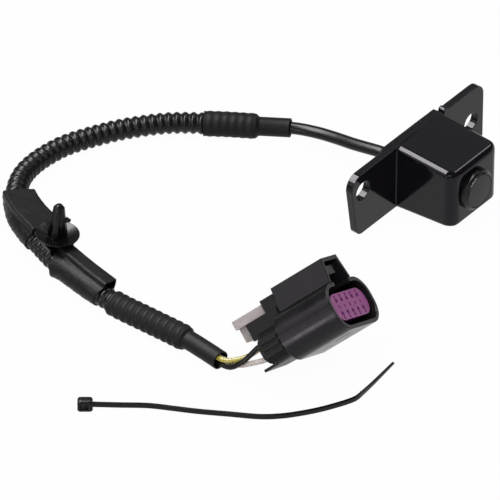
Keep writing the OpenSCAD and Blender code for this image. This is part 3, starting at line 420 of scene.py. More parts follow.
# %% [markdown]
# ## From modifiers to plain meshes
# Modifiers and node trees make shapes quickly, but a finished piece is one plain mesh at the origin.
# These helpers read the evaluated object into a new mesh, then say which body carries the piece,
# which finish it has, and which construction node it stands for.

# %% Settle and show
slot_of = {row["node"]: row["material_slot"] for row in frame["record"]["subparts"]}
bodies = frame["record"]["behaviour"]["bodies"]
body_of = {node: body for body, members in bodies.items() for node in members}


def linked(name, data):
    """A new object in the scene."""
    made = bpy.data.objects.new(name, data)
    scene.collection.objects.link(made)
    return made


def settle(draft, name):
    """The draft object as its modifiers show it, as a new object with a plain mesh."""
    graph = bpy.context.evaluated_depsgraph_get()
    mesh = bpy.data.meshes.new_from_object(draft.evaluated_get(graph))
    mesh.name = name
    old = draft.data
    bpy.data.objects.remove(draft)
    bpy.data.meshes.remove(old)
    return linked(name, mesh)


def smooth(piece, crease=50):
    """Smooth shading, with edges sharper than the crease angle kept sharp."""
    piece.data.shade_smooth()
    piece.data.set_sharp_from_angle(angle=math.radians(crease))
    return piece


def stand_for(piece, node, replaces=True):
    """The piece takes the node's body and finish, and its place in the picture."""
    piece.data.materials.clear()
    piece.data.materials.append(finish[slot_of[node]].material)
    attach(piece, body_of[node])
    if replaces:
        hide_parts(node)
    return piece


print("piece helpers ready")

# %% [markdown]
# ## Cable, conduit, sleeves and wires
# All of these are tubes along a path, and three of them carry ribs. A curve with a bevel gives a
# plain tube only. A node tree sets the radius at every point of the path from its length, so one tree
# gives a plain cable, a ribbed conduit, or a sleeve that narrows to a neck and then follows the ribs.
# The rib's height is also stored as an attribute, which the finishes use to dust the grooves and dull
# them.


# %% Tree helpers
def geometry_tree(name, sizes):
    """An empty Geometry Nodes tree: its graph, and a signal for each named input."""
    tree = bpy.data.node_groups.new(name, "GeometryNodeTree")
    sizes = {"Geometry": "Geometry", **sizes}
    for label, kind in sizes.items():
        tree.interface.new_socket(label, in_out="INPUT", socket_type="NodeSocket" + kind)
    tree.interface.new_socket("Geometry", in_out="OUTPUT", socket_type="NodeSocketGeometry")
    graph = Graph(tree)
    entry = tree.nodes.new("NodeGroupInput")
    return graph, {label: Signal(graph, entry.outputs[label]) for label in sizes}


def close_tree(graph, geometry, material):
    """Ends a tree in real geometry with a material."""
    real = graph.node("GeometryNodeRealizeInstances", inputs={0: geometry})
    painted = graph.node("GeometryNodeSetMaterial", inputs={"Geometry": real, "Material": material})
    end = graph.tree.nodes.new("NodeGroupOutput")
    graph.tree.links.new(painted.socket, end.inputs[0])
    return graph.tree


print("tree helpers ready")


# %% The tube tree
def tube_tree():
    """A tube along a line: ribs by length, and a neck at the line's start."""
    graph, given = geometry_tree("ribbed_tube", {
        "Radius": "Float", "Rib Depth": "Float", "Rib Pitch": "Float", "Rib Fullness": "Float",
        "Neck Radius": "Float", "Neck Length": "Float", "Shoulder": "Float",
        "Sides": "Int", "Closed Ends": "Bool", "Material": "Material"})
    line = graph.node("GeometryNodeMeshToCurve", inputs={"Mesh": given["Geometry"]})
    line = graph.node("GeometryNodeSetCurveNormal", {"mode": "Z_UP"}, {"Curve": line})
    reach = graph.node("GeometryNodeSplineParameter", output="Length")
    ribs_from = given["Neck Length"] + given["Shoulder"]
    turn = (reach - ribs_from) / given["Rib Pitch"] * math.tau
    wave = graph.node("ShaderNodeMath", {"operation": "COSINE"}, {0: turn})
    crest = (0.5 - 0.5 * wave) ** given["Rib Fullness"]
    body = graph.ramp(reach, given["Neck Length"], ribs_from)
    full = given["Radius"] - given["Rib Depth"] * (1 - crest)
    radius = given["Neck Radius"] + (full - given["Neck Radius"]) * body
    shade = 1 - (1 - crest) * body
    line = graph.node("GeometryNodeStoreNamedAttribute", {"data_type": "FLOAT", "domain": "POINT"},
                      {"Geometry": line, "Name": "crest", "Value": shade})
    ring = graph.node("GeometryNodeCurvePrimitiveCircle", {"mode": "RADIUS"},
                      {"Resolution": given["Sides"], "Radius": 1.0})
    tube = graph.node("GeometryNodeCurveToMesh", inputs={
        "Curve": line, "Profile Curve": ring, "Scale": radius, "Fill Caps": given["Closed Ends"]})
    return close_tree(graph, tube, given["Material"])


TUBE = tube_tree()
print("tube tree has", len(TUBE.nodes), "nodes")


# %% Tubes from the tree
def grow(name, tree, mesh, values):
    """A mesh run through a node tree, as a plain piece."""
    draft = linked(name + ".draft", mesh)
    modifier = draft.modifiers.new("nodes", "NODES")
    modifier.node_group = tree
    for item in tree.interface.items_tree:
        if item.in_out == "INPUT" and item.name in values:
            modifier[item.identifier] = values[item.name]
    return settle(draft, name)


def line_mesh(points):
    """Points and the edges between them, for a tree to read as a line."""
    mesh = bpy.data.meshes.new("line")
    mesh.from_pydata(points, [(i, i + 1) for i in range(len(points) - 1)], [])
    return mesh


def tube(node, points, diameter, rib_depth=0.0, pitch=1.0, fullness=0.7, neck=None, neck_length=-1.0,
         shoulder=0.5, wall=None, sides=24):
    """A tube in place of a node. Sizes are in millimetres; a wall leaves the ends open."""
    values = {"Radius": diameter / 2 * MM, "Rib Depth": rib_depth * MM, "Rib Pitch": pitch * MM,
              "Rib Fullness": fullness, "Neck Radius": (neck or diameter) / 2 * MM,
              "Neck Length": neck_length * MM, "Shoulder": shoulder * MM, "Sides": sides,
              "Closed Ends": wall is None, "Material": finish[slot_of[node]].material}
    piece = grow(node + "_shown", TUBE, line_mesh(points), values)
    if wall:
        shell = piece.modifiers.new("wall", "SOLIDIFY")
        shell.thickness = wall * MM
        shell.offset = -1
        piece = settle(piece, node + "_shown")
    return stand_for(smooth(piece, crease=100), node)


print("tube helpers ready")

# %% Cable, conduit and sleeves
CABLE_D = 4.0
CABLE_END = 255.0
CABLE_STEP = 1.0
CONDUIT_D = 7.2
CONDUIT_AT = (62.0, 247.0)
CONDUIT_RIB = 0.7
RIB_PITCH = 2.65
RIB_STEPS = 12
SLEEVE_D = 8.4
NECK_D = 6.2
FRONT_SLEEVE_AT = (50.0, 78.0)
REAR_SLEEVE_AT = (263.5, 220.0)
FRONT_NECK = 10.0
REAR_NECK = 14.0
SLEEVE_STEP = 0.22
cable_line = lead.stretch(0, CABLE_END, CABLE_STEP)
conduit_line = lead.stretch(*CONDUIT_AT, RIB_PITCH / RIB_STEPS)
cable = tube("camera_cable", cable_line, CABLE_D)
conduit = tube("corrugated_conduit", conduit_line, CONDUIT_D, rib_depth=CONDUIT_RIB, pitch=RIB_PITCH,
               wall=0.5, sides=36)
sleeve_sizes = {"pitch": RIB_PITCH, "fullness": 0.8, "neck": NECK_D, "shoulder": 1.4,
                "wall": 0.4, "sides": 40}
front_sleeve = tube("front_sleeve", lead.stretch(*FRONT_SLEEVE_AT, SLEEVE_STEP), SLEEVE_D,
                    rib_depth=0.18, neck_length=FRONT_NECK, **sleeve_sizes)
rear_sleeve = tube("rear_sleeve", lead.stretch(*REAR_SLEEVE_AT, SLEEVE_STEP), SLEEVE_D,
                   rib_depth=0.32, neck_length=REAR_NECK, **sleeve_sizes)
for piece in (cable, conduit, front_sleeve, rear_sleeve):
    print(piece.name, len(piece.data.polygons), "faces")

# %% [markdown]
# The three wires leave the sleeve side by side, cross over, and go into the plug's rear cap. The plug
# is tilted and held clear of the table. Points typed for each wire's end would miss it after any turn,
# so the plug's own frame is a matrix, and a wire's last points are straight in that frame.

# %% Plug frame and wires
PLUG_POS = Vector((-83.5, -42.2, 28.4))
PLUG_TURN = (-46, 28, 10.5)
plug_frame = Matrix.Translation(PLUG_POS)
for axis, angle in zip("ZYX", reversed(PLUG_TURN)):
    plug_frame = plug_frame @ Matrix.Rotation(math.radians(angle), 4, axis)
CAP_END = 31.0
CRIMP_Y = 18.1
TERMINAL_PITCH = 3.8
ROW_GAP = 4.3
WIRE_D = 1.7
WIRE_STEP = 0.6
WIRE_SPREAD = 1.06
WIRE_OUT = 1.6
SLEEVE_MOUTH = 262.9
WIRE_STARTS = (CABLE_END + 0.4, CABLE_END + 4.4, SLEEVE_MOUTH)


def wire_path(turn, middle, column, row):
    """From the cable's end, out of the sleeve, over the middle points, to a terminal in the plug."""
    angle = math.radians(turn)
    x, y = WIRE_SPREAD * math.cos(angle), WIRE_SPREAD * math.sin(angle)
    start = [lead.point(s, x, y) for s in WIRE_STARTS]
    depths = (CAP_END + WIRE_OUT, CAP_END, (CAP_END + CRIMP_Y) / 2, CRIMP_Y)
    end = [plug_frame @ Vector((column * TERMINAL_PITCH, y, row * ROW_GAP / 2)) for y in depths]
    return Path([*start, *middle, *end])


wire_paths = {
    "black_wire": wire_path(235, [(-109.6, -14.8, 4.5), (-107.9, -18.7, 8)], -2, 1),
    "yellow_wire": wire_path(115, [(-108.6, -13.5, 5.8), (-105, -17.8, 7.4)], -1, 1),
    "white_wire": wire_path(355, [(-107.3, -16, 4.6), (-106.8, -21.7, 8.1)], -2, -1),
}
for node, path in wire_paths.items():
    tube(node, path.stretch(0, path.length, WIRE_STEP), WIRE_D, sides=18)
    print(node, round(path.length, 1), "mm")

# %% [markdown]
# ## Tape
# Two wraps of vinyl tape hold the clip's strip on the conduit. Round below and flat on top, they are
# not a tube, so each is a sweep of its own outline. Cloth simulation could wrinkle them, but the tape
# is stretched tight: a few raised creases, uneven ends and a loose corner are set by formula instead.


# %% Outlines and sweeps
def rounded(corners, arc=5):
    """An outline with the radius that is given third on each corner."""
    points = []
    for before, here, after in zip([corners[-1], *corners], corners, [*corners[1:], corners[0]]):
        p = Vector(here[:2])
        a = (Vector(before[:2]) - p).normalized()
        b = (Vector(after[:2]) - p).normalized()
        if here[2] == 0:
            points.append(p)
            continue
        half = a.angle(b) / 2
        reach = here[2] / math.tan(half)
        centre = p + (a + b).normalized() * here[2] / math.sin(half)
        v, w = p + a * reach - centre, p + b * reach - centre
        start = math.atan2(v.y, v.x)
        sweep = (math.atan2(w.y, w.x) - start + 3 * math.pi) % math.tau - math.pi
        turns = [start + sweep * k / arc for k in range(arc + 1)]
        points += [centre + here[2] * Vector((math.cos(turn), math.sin(turn))) for turn in turns]
    return points


def evenly(outline, count):
    """A closed outline read again at evenly spaced points."""
    ring = np.array([*outline, outline[0]])
    reach = np.concatenate([[0], np.cumsum(np.linalg.norm(np.diff(ring, axis=0), axis=1))])
    at = np.linspace(0, reach[-1], count, endpoint=False)
    return [Vector((np.interp(s, reach, ring[:, 0]), np.interp(s, reach, ring[:, 1]))) for s in at]


def bridged(name, rings, closed=False, capped=True):
    """Rings of points joined by faces: round again to the first, or capped at both ends."""
    n = len(rings[0])
    points = [tuple(Vector(p) * MM) for ring in rings for p in ring]
    pairs = list(zip(range(len(rings)), [*range(1, len(rings)), 0]))
    faces = [(a * n + j, a * n + (j + 1) % n, b * n + (j + 1) % n, b * n + j)
             for a, b in (pairs if closed else pairs[:-1]) for j in range(n)]
    if capped and not closed:
        faces += [tuple(range(n)), tuple(range(len(points) - n, len(points)))]
    mesh = bpy.data.meshes.new(name)
    mesh.from_pydata(points, [], faces)
    shape = bmesh.new()
    shape.from_mesh(mesh)
    bmesh.ops.recalc_face_normals(shape, faces=shape.faces)
    shape.to_mesh(mesh)
    shape.free()
    return linked(name, mesh)


print("sweep helpers ready")

# %% Outline of the tape
STRIP_W = 9.4
TONGUE_W = 4.2
TONGUE_SIDE = 0.9
STRIP_END = 192.0
STRIP_BOW = 1.3
STRIP_V = 3.7
STRIP_TOP = 5.1
CLIP_AT = 188.5
CLIP_SIDE = 2.4
CLIP_FADE = 0.06
BEND_TAPE_AT = (160.0, 180.0)
TAPE_POINTS = 96
TAPE_ARC_POINTS = 30
TAPE_TUCK = 0.3
TAPE_WRAP = math.radians(6)


def side_at(s):
    """How far the clip's strip sits to the inside of the bend."""
    bow = STRIP_BOW * max(0.0, math.sin(math.pi * (CLIP_AT - s) / (CLIP_AT - BEND_TAPE_AT[0])))
    return max(0.0, CLIP_SIDE - CLIP_FADE * abs(s - CLIP_AT)) + (TONGUE_SIDE if s > STRIP_END else bow)


def tape_outline(gap, s, ease):
    """Tape pulled tight round the conduit below and the strip above."""
    r = CONDUIT_D / 2 + gap
    side, half = side_at(s), (TONGUE_W if s > STRIP_END else STRIP_W) / 2 + gap
    ends = []
    for sign in (-1, 1):
        foot = Vector((side + sign * half, STRIP_V - TAPE_TUCK))
        foot *= max(1.0, r / foot.length)
        spread = math.acos(min(1.0, r / foot.length)) + TAPE_WRAP
        ends.append((foot, math.atan2(foot.y, foot.x) - sign * spread))
    (left, start), (right, end) = ends
    turns = np.linspace(start, end + math.tau, TAPE_ARC_POINTS)
    below = [(r * math.cos(a), r * math.sin(a), 0) for a in turns]
    high = STRIP_TOP + gap
    above = [(*right, ease / 2), (side + half, high, ease),
             (side - half, high, ease), (*left, ease / 2)]
    return evenly(rounded(below + above), TAPE_POINTS)


print("tape outline has", TAPE_POINTS, "points")

# %% Two wraps of tape
CLIP_LEAN = math.radians(4)
CLIP_TAPE_AT = (193.0, 215.0)
TAPE_T = 0.4
TAPE_GAP = 0.12
TAPE_MIDDLE = 1
TAPE_STATIONS = 72
FLOOR_CLEAR = 0.02
LOOSE_SIDE = math.radians(215)
LOOSE_LENGTH = 6
UPPER_SIDE = math.radians(70)
FLAT_TOP = (0.3, 2.6)
FLAT_SHARE = 0.12
FOLDS_ROUND = 2.2
FOLDS_ALONG = 0.55
FOLD_DRIFT = 0.12
FOLD_SHARPNESS = 6
FOLD_SINK = 0.4


def tape_wrap(node, start, end, seed, start_slant, end_slant, crease, ease, flap):
    """A closed shell of tape, with creases on its outside, slanted ends and a loose corner."""
    stations = np.linspace(0, 1, TAPE_STATIONS)

    def place(t, p, lift):
        angle = math.atan2(p.y - TAPE_MIDDLE, p.x)
        s = start + (end - start) * t
        s += (1 - t) ** 3 * start_slant * math.cos(angle - LOOSE_SIDE)
        s += t ** 3 * end_slant * math.cos(angle - UPPER_SIDE)
        outward = Vector((p.x, p.y)).normalized() * lift(s, angle)
        spot = lead.point(s, p.x + outward.x, p.y + outward.y, CLIP_LEAN)
        return Vector((spot.x, spot.y, max(spot.z, FLOOR_CLEAR)))

    def folds(s, angle):
        slant = angle * FOLDS_ROUND + s * FOLDS_ALONG
        ridge = 1 - abs(noise.noise(Vector((slant, s * FOLD_DRIFT, seed))))
        flat = FLAT_SHARE if FLAT_TOP[0] < angle < FLAT_TOP[1] else 1.0
        loose = max(0.0, 1 - (s - start) / LOOSE_LENGTH) ** 2
        loose *= max(0.0, math.cos(angle - LOOSE_SIDE)) ** 3
        return crease * flat * (ridge ** FOLD_SHARPNESS - FOLD_SINK) + flap * loose

    middle = [start + (end - start) * t for t in stations]
    outer = [[place(t, p, folds) for p in tape_outline(TAPE_GAP + TAPE_T, s, ease)]
             for t, s in zip(stations, middle)]
    inner = [[place(t, p, lambda s, angle: 0.0) for p in tape_outline(TAPE_GAP, s, ease / 2)]
             for t, s in zip(stations, middle)]
    piece = bridged(node + "_shown", outer + inner[::-1], closed=True)
    return stand_for(smooth(piece), node)


bend_tape = tape_wrap("bend_tape", *BEND_TAPE_AT, seed=3.0, start_slant=0.8, end_slant=0.9,
                      crease=0.2, ease=0.6, flap=0.0)
clip_tape = tape_wrap("clip_tape", *CLIP_TAPE_AT, seed=8.0, start_slant=1.6, end_slant=1.2,
                      crease=0.14, ease=1.0, flap=1.2)
print("tape faces", len(bend_tape.data.polygons), len(clip_tape.data.polygons))

# %% [markdown]
# ## Eased edges
# A real moulding has no knife edges: a small radius catches the light along every corner. The
# construction model leaves them sharp, so a copy of its mesh is merged, its flat faces are joined, and
# a Bevel modifier rounds what is sharper than a limit. Weighted normals keep the flats flat. A radius
# wider than half of a piece's narrowest strip would fold the strip over itself, so each has its own.

# %% Ease a moulding's edges
WELD = 0.002 * MM
FLAT_LIMIT = math.radians(0.6)


def eased(node, width, limit=35, segments=3):
    """A copy of the node's mesh with rounded edges, in place of the node."""
    mesh = nodes[node].data.copy()
    shape = bmesh.new()
    shape.from_mesh(mesh)
    bmesh.ops.remove_doubles(shape, verts=shape.verts, dist=WELD)
    bmesh.ops.dissolve_limit(shape, angle_limit=FLAT_LIMIT, verts=shape.verts, edges=shape.edges)
    shape.to_mesh(mesh)
    shape.free()
    if "custom_normal" in mesh.attributes:
        mesh.attributes.remove(mesh.attributes["custom_normal"])
    draft = linked(node + ".draft", mesh)
    mesh.shade_smooth()
    bevel = draft.modifiers.new("ease", "BEVEL")
    bevel.width = width * MM
    bevel.segments = segments
    bevel.limit_method = "ANGLE"
    bevel.angle_limit = math.radians(limit)
    bevel.use_clamp_overlap = False
    bevel.miter_outer = "MITER_ARC"
    normals = draft.modifiers.new("normals", "WEIGHTED_NORMAL")
    normals.keep_sharp = False
    piece = settle(draft, node + "_shown")
    return stand_for(piece, node)


EASE = {"rear_cover": 0.15, "cable_gland": 0.25, "push_in_clip": 0.08, "plug_shroud": 0.25,
        "terminal_block": 0.08, "latch_lever": 0.15, "slide_lock": 0.1}
mouldings = {node: eased(node, width) for node, width in EASE.items()}
for node, piece in mouldings.items():
    print(node, len(piece.data.polygons), "faces")

# %% [markdown]
# ## Camera housing
# The housing is polished, so its fillets are what the eye reads, and a Bevel modifier breaks up where
# so many edges meet. Its outside is made in two shapes instead. The flange is a filled 2D curve,
# which takes holes and a soft rim by itself. The body is a stack of rounded rectangles that shrink
# towards the front. The cavity behind them comes unchanged from the construction model.


# %% A plate from a filled curve
def circle(x, y, r, start=0.0, end=360.0, count=48):
    """Points on a circle, or on an arc between two angles in degrees."""
    turns = np.radians(np.linspace(start, end, count, endpoint=end - start < 360))
    return [(x + r * math.cos(a), y + r * math.sin(a)) for a in turns]


def plate(name, outlines, thickness, rim):
    """A filled curve with its first outline outside and the others as holes, stood upright."""
    data = bpy.data.curves.new(name, "CURVE")
    data.dimensions = "2D"
    data.fill_mode = "BOTH"
    data.extrude = (thickness / 2 - rim) * MM
    data.bevel_depth = rim * MM
    data.bevel_resolution = 3
    data.offset = -rim * MM
    for outline in outlines:
        spline = data.splines.new("POLY")
        spline.points.add(len(outline) - 1)
        for point, (x, y) in zip(spline.points, outline):
            point.co = (x * MM, y * MM, 0, 1)
        spline.use_cyclic_u = True
    draft = linked(name, data)
    graph = bpy.context.evaluated_depsgraph_get()
    mesh = bpy.data.meshes.new_from_object(draft.evaluated_get(graph))
    bpy.data.objects.remove(draft)
    mesh.transform(Matrix.Rotation(math.pi / 2, 4, "X"))
    return mesh


print("plate helpers ready")

# %% Flange plate
FLANGE_T = 2.6
FLANGE_RIM = 0.2
FLANGE_TOP = 24.0
PEG = (14.6, 23.45, 1.1)
NOTCH = (12.6, 13.5)
NOTCH_FLOOR = 23.1
HOLES = ((-27.6, 17.06, 3.3), (27.6, 11.26, 3.3))
FLANGE_HALF = 33.9
FLANGE_FOOT = -30.3
TOP_R = 4.6
FOOT_CORNER_R = 3
LENS_Z = 12.85
CAVITY = (16.6, 16.1)
SIGNS = ((-1, -1), (1, -1), (1, 1), (-1, 1))
peg_and_notch = [*[(x, z, 0) for x, z in circle(*PEG, 30, 180, 16)],
                 (NOTCH[1], NOTCH_FLOOR, 0), (NOTCH[0], NOTCH_FLOOR, 0), (NOTCH[0], FLANGE_TOP, 0)]
flange_corners = [(FLANGE_HALF, 0, FOOT_CORNER_R), (FLANGE_HALF, FLANGE_TOP, TOP_R), *peg_and_notch,
                  (-FLANGE_HALF, FLANGE_TOP, TOP_R), (FLANGE_FOOT, 0, FOOT_CORNER_R)]
flange_outline = [tuple(p) for p in rounded(flange_corners, arc=12)]
cavity_outline = [(sx * CAVITY[0] / 2, LENS_Z + sz * CAVITY[1] / 2) for sx, sz in SIGNS]
flange = plate("flange", [flange_outline, *(circle(*hole) for hole in HOLES), cavity_outline],
               FLANGE_T, FLANGE_RIM)
print("flange", len(flange.polygons), "faces")

# %% [markdown]
# Each ring of the body is as wide and as high as the fillets leave it at that depth. Close to the
# flange the sides flare out in a small cove, which shows as a thin upright line of light.

# %% Body shell
BODY_X = 1.2
BODY_W = 23.8
BODY_DEPTH = 22.8
FRONT_Y = -24.1
UNDERSIDE_RISE = 2.4
TOP_FALL = 0.7
EDGE_R = 2.1
FOOT_R = 0.9
UPRIGHT_R = 3.8
FRONT_R = 2.2
COVE_R = 0.4
SIDES_FROM = 5
SIDE_RINGS = 8
INTO_FLANGE = 0.5
LENS_HOLE_R = 5.6
LENS_HOLE_DEPTH = 2
BODY_POINTS = 160


def fillet(depth, radius):
    """How far a rounded edge has drawn in at a depth behind the front face."""
    left = max(0.0, radius - depth)
    return radius - math.sqrt(radius * radius - left * left)


def body_ring(depth):
    """The body's outline at a depth behind its front face."""
    t = max(0.0, 1 - depth / BODY_DEPTH)
    low = UNDERSIDE_RISE * t + fillet(depth, FOOT_R)
    high = FLANGE_TOP - TOP_FALL * t - fillet(depth, FRONT_R)
    flare = fillet(BODY_DEPTH - depth, COVE_R) if depth < BODY_DEPTH else COVE_R
    half = BODY_W / 2 - fillet(depth, UPRIGHT_R) + flare
    corners = [(BODY_X - half, low, FOOT_R), (BODY_X + half, low, FOOT_R),
               (BODY_X + half, high, EDGE_R), (BODY_X - half, high, EDGE_R)]
    return [(p.x, FRONT_Y + depth, p.y) for p in evenly(rounded(corners, 10), BODY_POINTS)]


def lens_ring(ring, y):
    """A round ring at the lens, with a point for each one of another ring."""
    turns = [math.atan2(z - LENS_Z, x) for x, _, z in ring]
    return [(LENS_HOLE_R * math.cos(a), y, LENS_Z + LENS_HOLE_R * math.sin(a)) for a in turns]


round_over = [UPRIGHT_R * (1 - math.cos(a)) for a in np.linspace(0, math.pi / 2, 20)]
depths = [*round_over, *np.linspace(SIDES_FROM, BODY_DEPTH - 1, SIDE_RINGS),
          *(BODY_DEPTH - COVE_R * math.cos(a) for a in np.linspace(0, math.pi / 2, 6)),
          BODY_DEPTH + INTO_FLANGE]
rings = [body_ring(depth) for depth in depths]
front_hole = lens_ring(rings[0], FRONT_Y)
hole_end = lens_ring(rings[0], FRONT_Y + LENS_HOLE_DEPTH)
body_shell = bridged("body", [hole_end, front_hole, *rings], capped=False)
print("body", len(body_shell.data.polygons), "faces")

# %% Cavity and joined housing
CAVITY_SLACK = 0.05


def inside_faces(node):
    """The faces of a node's mesh that lie in the camera's cavity."""
    shape = bmesh.new()
    shape.from_mesh(nodes[node].data)
    bmesh.ops.remove_doubles(shape, verts=shape.verts, dist=WELD)

    def within(co):
        x, y, z = co / MM
        across = abs(x) < CAVITY[0] / 2 + CAVITY_SLACK
        upright = abs(z - LENS_Z) < CAVITY[1] / 2 + CAVITY_SLACK
        return across and upright and y > FRONT_Y + LENS_HOLE_DEPTH - CAVITY_SLACK

    outside = [f for f in shape.faces if not all(within(v.co) for v in f.verts)]
    bmesh.ops.delete(shape, geom=outside, context="FACES")
    mesh = bpy.data.meshes.new("inside")
    shape.to_mesh(mesh)
    shape.free()
    return mesh


def joined(name, meshes):
    """Several meshes as one object."""
    shape = bmesh.new()
    for mesh in meshes:
        shape.from_mesh(mesh)
    mesh = bpy.data.meshes.new(name)
    shape.to_mesh(mesh)
    shape.free()
    return linked(name, mesh)


draft = joined("housing.draft", [flange, body_shell.data, inside_faces("front_housing")])
bpy.data.objects.remove(body_shell)
smooth(draft, crease=40)
weights = draft.modifiers.new("normals", "WEIGHTED_NORMAL")
weights.keep_sharp = True
housing = stand_for(settle(draft, "front_housing_shown"), "front_housing")
print("housing", len(housing.data.polygons), "faces")

# %% [markdown]
# ## Lens
# The barrel and its window are turned parts. A profile spun round the lens axis gives them many more
# sides than the construction model needs, and room for the small radii that make the rim lines.

# %% Turned lens parts
LATHE_SIDES = 96


def turned(node, profile):
    """A closed profile of (radius, height in front of the housing) spun round the lens axis."""
    turns = [k * math.tau / LATHE_SIDES for k in range(LATHE_SIDES)]
    rings = [[(r * math.cos(a), FRONT_Y - h, LENS_Z + r * math.sin(a)) for r, h in profile]
             for a in turns]
    piece = bridged(node + "_shown", rings, closed=True)
    shape = bmesh.new()
    shape.from_mesh(piece.data)
    bmesh.ops.remove_doubles(shape, verts=shape.verts, dist=WELD)
    bmesh.ops.recalc_face_normals(shape, faces=shape.faces)
    shape.to_mesh(piece.data)
    shape.free()
    return stand_for(smooth(piece, crease=40), node)


barrel_profile = [(p.x, p.y) for p in rounded([
    (4.3, -9, 0), (5.5, -9, 0.2), (5.5, 0, 0), (5.9, 0, 0), (5.9, 0.6, 0), (6.6, 0.6, 0), (6.6, 0, 0),
    (7, 0, 0.1), (7, 1.7, 0.3), (6.2, 2.05, 0.25), (6.2, 2.8, 0.2), (5.65, 2.8, 0.1), (5.65, 1.3, 0),
    (4.3, 1.3, 0)])]
GLASS_R = 5.6
GLASS_SEAT = 1.4
GLASS_TOP = 2.8
GLASS_CROWN = 0.1
GLASS_EASE = 0.1
CROWN_STEPS = 12
crown = [(GLASS_R * k / CROWN_STEPS, GLASS_TOP - GLASS_CROWN * (k / CROWN_STEPS) ** 2)
         for k in reversed(range(CROWN_STEPS))]
glass_profile = [(0, GLASS_SEAT), (GLASS_R, GLASS_SEAT), (GLASS_R, GLASS_TOP - GLASS_CROWN - GLASS_EASE),
                 (GLASS_R - GLASS_EASE, GLASS_TOP - GLASS_CROWN), *crown]
barrel = turned("lens_barrel", barrel_profile)
window = turned("cover_glass", glass_profile)
print("lens faces", len(barrel.data.polygons), len(window.data.polygons))

# %% [markdown]
# ## Cable tie
# The strap lies on its edge and bends sideways, so it is a sweep of a small rounded bar that narrows
# to its tail. Its teeth repeat at a fixed pitch: a node tree puts one wedge at each step of the strap.
# The head is a ring of bridged outlines round the slot, which a box with a boolean would cut less
# cleanly.

# %% Strap
TIE_W = 1.8
TIE_T = 0.8
TIE_EDGE_R = 0.2
TIE_TAIL = 19.0
TIE_TIP_W = 0.7
STRAP_TUCK = 0.6
STRAP_STATIONS = 180
BAR_POINTS = 24


def bar(width, height, radius, count=BAR_POINTS, centre=0.0):
    """The outline of a bar with rounded corners, shifted sideways to its centre."""
    corners = [(centre + sx * width / 2, sy * height / 2, radius) for sx, sy in SIGNS]
    return evenly(rounded(corners), count)


def strap_width(s):
    """Full width, narrowing over the tail to the tip."""
    left = max(tie_line.length - s, 0.0)
    return TIE_TIP_W + (TIE_W - TIE_TIP_W) * min(1.0, left / TIE_TAIL)


def tie_strap():
    """The bar swept along its line, with a short tuck into the head."""
    rings = []
    for s in np.linspace(0, tie_line.length, STRAP_STATIONS):
        rings.append([tie_line.point(s, p.x, p.y) for p in bar(TIE_T, strap_width(s), TIE_EDGE_R)])
    heading = tie_line.axes(0)[0]
    rings.insert(0, [p - heading * STRAP_TUCK for p in rings[0]])
    return bridged("tie_strap", rings)


strap = stand_for(smooth(tie_strap()), "cable_tie")
print("strap", len(strap.data.polygons), "faces")

# %% Head
TIE_HEADING = math.radians(-50)
TIE_HEAD_W = 4.8
TIE_HEAD_H = 4.0
TIE_HEAD_T = 2.9
TIE_HEAD_R = 0.8
TIE_HEAD_EASE = ((0, 0.35), (0.1, 0.1), (0.35, 0))
TIE_SLOT = (-1.55, 0.85, 2.2)
SLOT_R = 0.15
HEAD_POINTS = 48


def tie_head():
    """Outer outline, eased at both ends, bridged to the slot inside it."""
    turn = Matrix.Rotation(TIE_HEADING, 4, "Z")
    middle = tie_line.at(0) - turn @ Vector((TIE_HEAD_W / 2, 0, 0))
    middle.z = TIE_HEAD_H / 2
    low, high, tall = TIE_SLOT
    slot = bar(high - low, tall, SLOT_R, HEAD_POINTS, (low + high) / 2)
    half = TIE_HEAD_T / 2
    outer = [(depth - half, inset) for depth, inset in TIE_HEAD_EASE]
    outer += [(half - depth, inset) for depth, inset in reversed(TIE_HEAD_EASE)]
    rings = [(y, bar(TIE_HEAD_W - 2 * inset, TIE_HEAD_H - 2 * inset, TIE_HEAD_R, HEAD_POINTS))
             for y, inset in outer]
    rings += [(half, slot), (-half, slot)]
    placed = [[middle + turn @ Vector((p.x, y, p.y)) for p in ring] for y, ring in rings]
    return bridged("tie_head", placed, closed=True)


head = stand_for(smooth(tie_head()), "cable_tie", replaces=False)
print("head", len(head.data.polygons), "faces")

# %% Teeth along the strap
TEETH_FROM = 12
TEETH_SHORT_OF = 18
TEETH_LINE_STEP = 0.8
TOOTH_TILT = 0.3
TOOTH_SIZES = {"Pitch": 1.15, "Tooth Length": 0.7, "Tooth Width": 1.2, "Tooth Height": 0.3,
               "Offset": TIE_T / 2}


def teeth_tree():
    """One instance of a wedge at each step of a line, turned along it."""
    sizes = {size: "Float" for size in TOOTH_SIZES}
    graph, given = geometry_tree("strap_teeth", {**sizes, "Material": "Material"})
    line = graph.node("GeometryNodeMeshToCurve", inputs={"Mesh": given["Geometry"]})
    line = graph.node("GeometryNodeSetCurveNormal", {"mode": "Z_UP"}, {"Curve": line})
    steps = graph.node("GeometryNodeResampleCurve", {"mode": "LENGTH"},
                       {"Curve": line, "Length": given["Pitch"]})
    size = graph.node("ShaderNodeCombineXYZ", inputs={
        0: given["Tooth Length"], 1: given["Tooth Height"], 2: given["Tooth Width"]})
    wedge = graph.node("GeometryNodeMeshCube", inputs={"Size": size})
    shift = graph.node("ShaderNodeCombineXYZ", inputs={1: given["Offset"]})
    tilt = graph.node("FunctionNodeEulerToRotation", inputs={0: (0.0, 0.0, TOOTH_TILT)})
    wedge = graph.node("GeometryNodeTransform", inputs={
        "Geometry": wedge, "Rotation": tilt, "Translation": shift})
    along = graph.node("GeometryNodeInputTangent")
    turn = graph.node("FunctionNodeAlignRotationToVector", {"axis": "X", "pivot_axis": "Z"},
                      {"Vector": along})
    placed = graph.node("GeometryNodeInstanceOnPoints", inputs={
        "Points": steps, "Instance": wedge, "Rotation": turn})
    return close_tree(graph, placed, given["Material"])


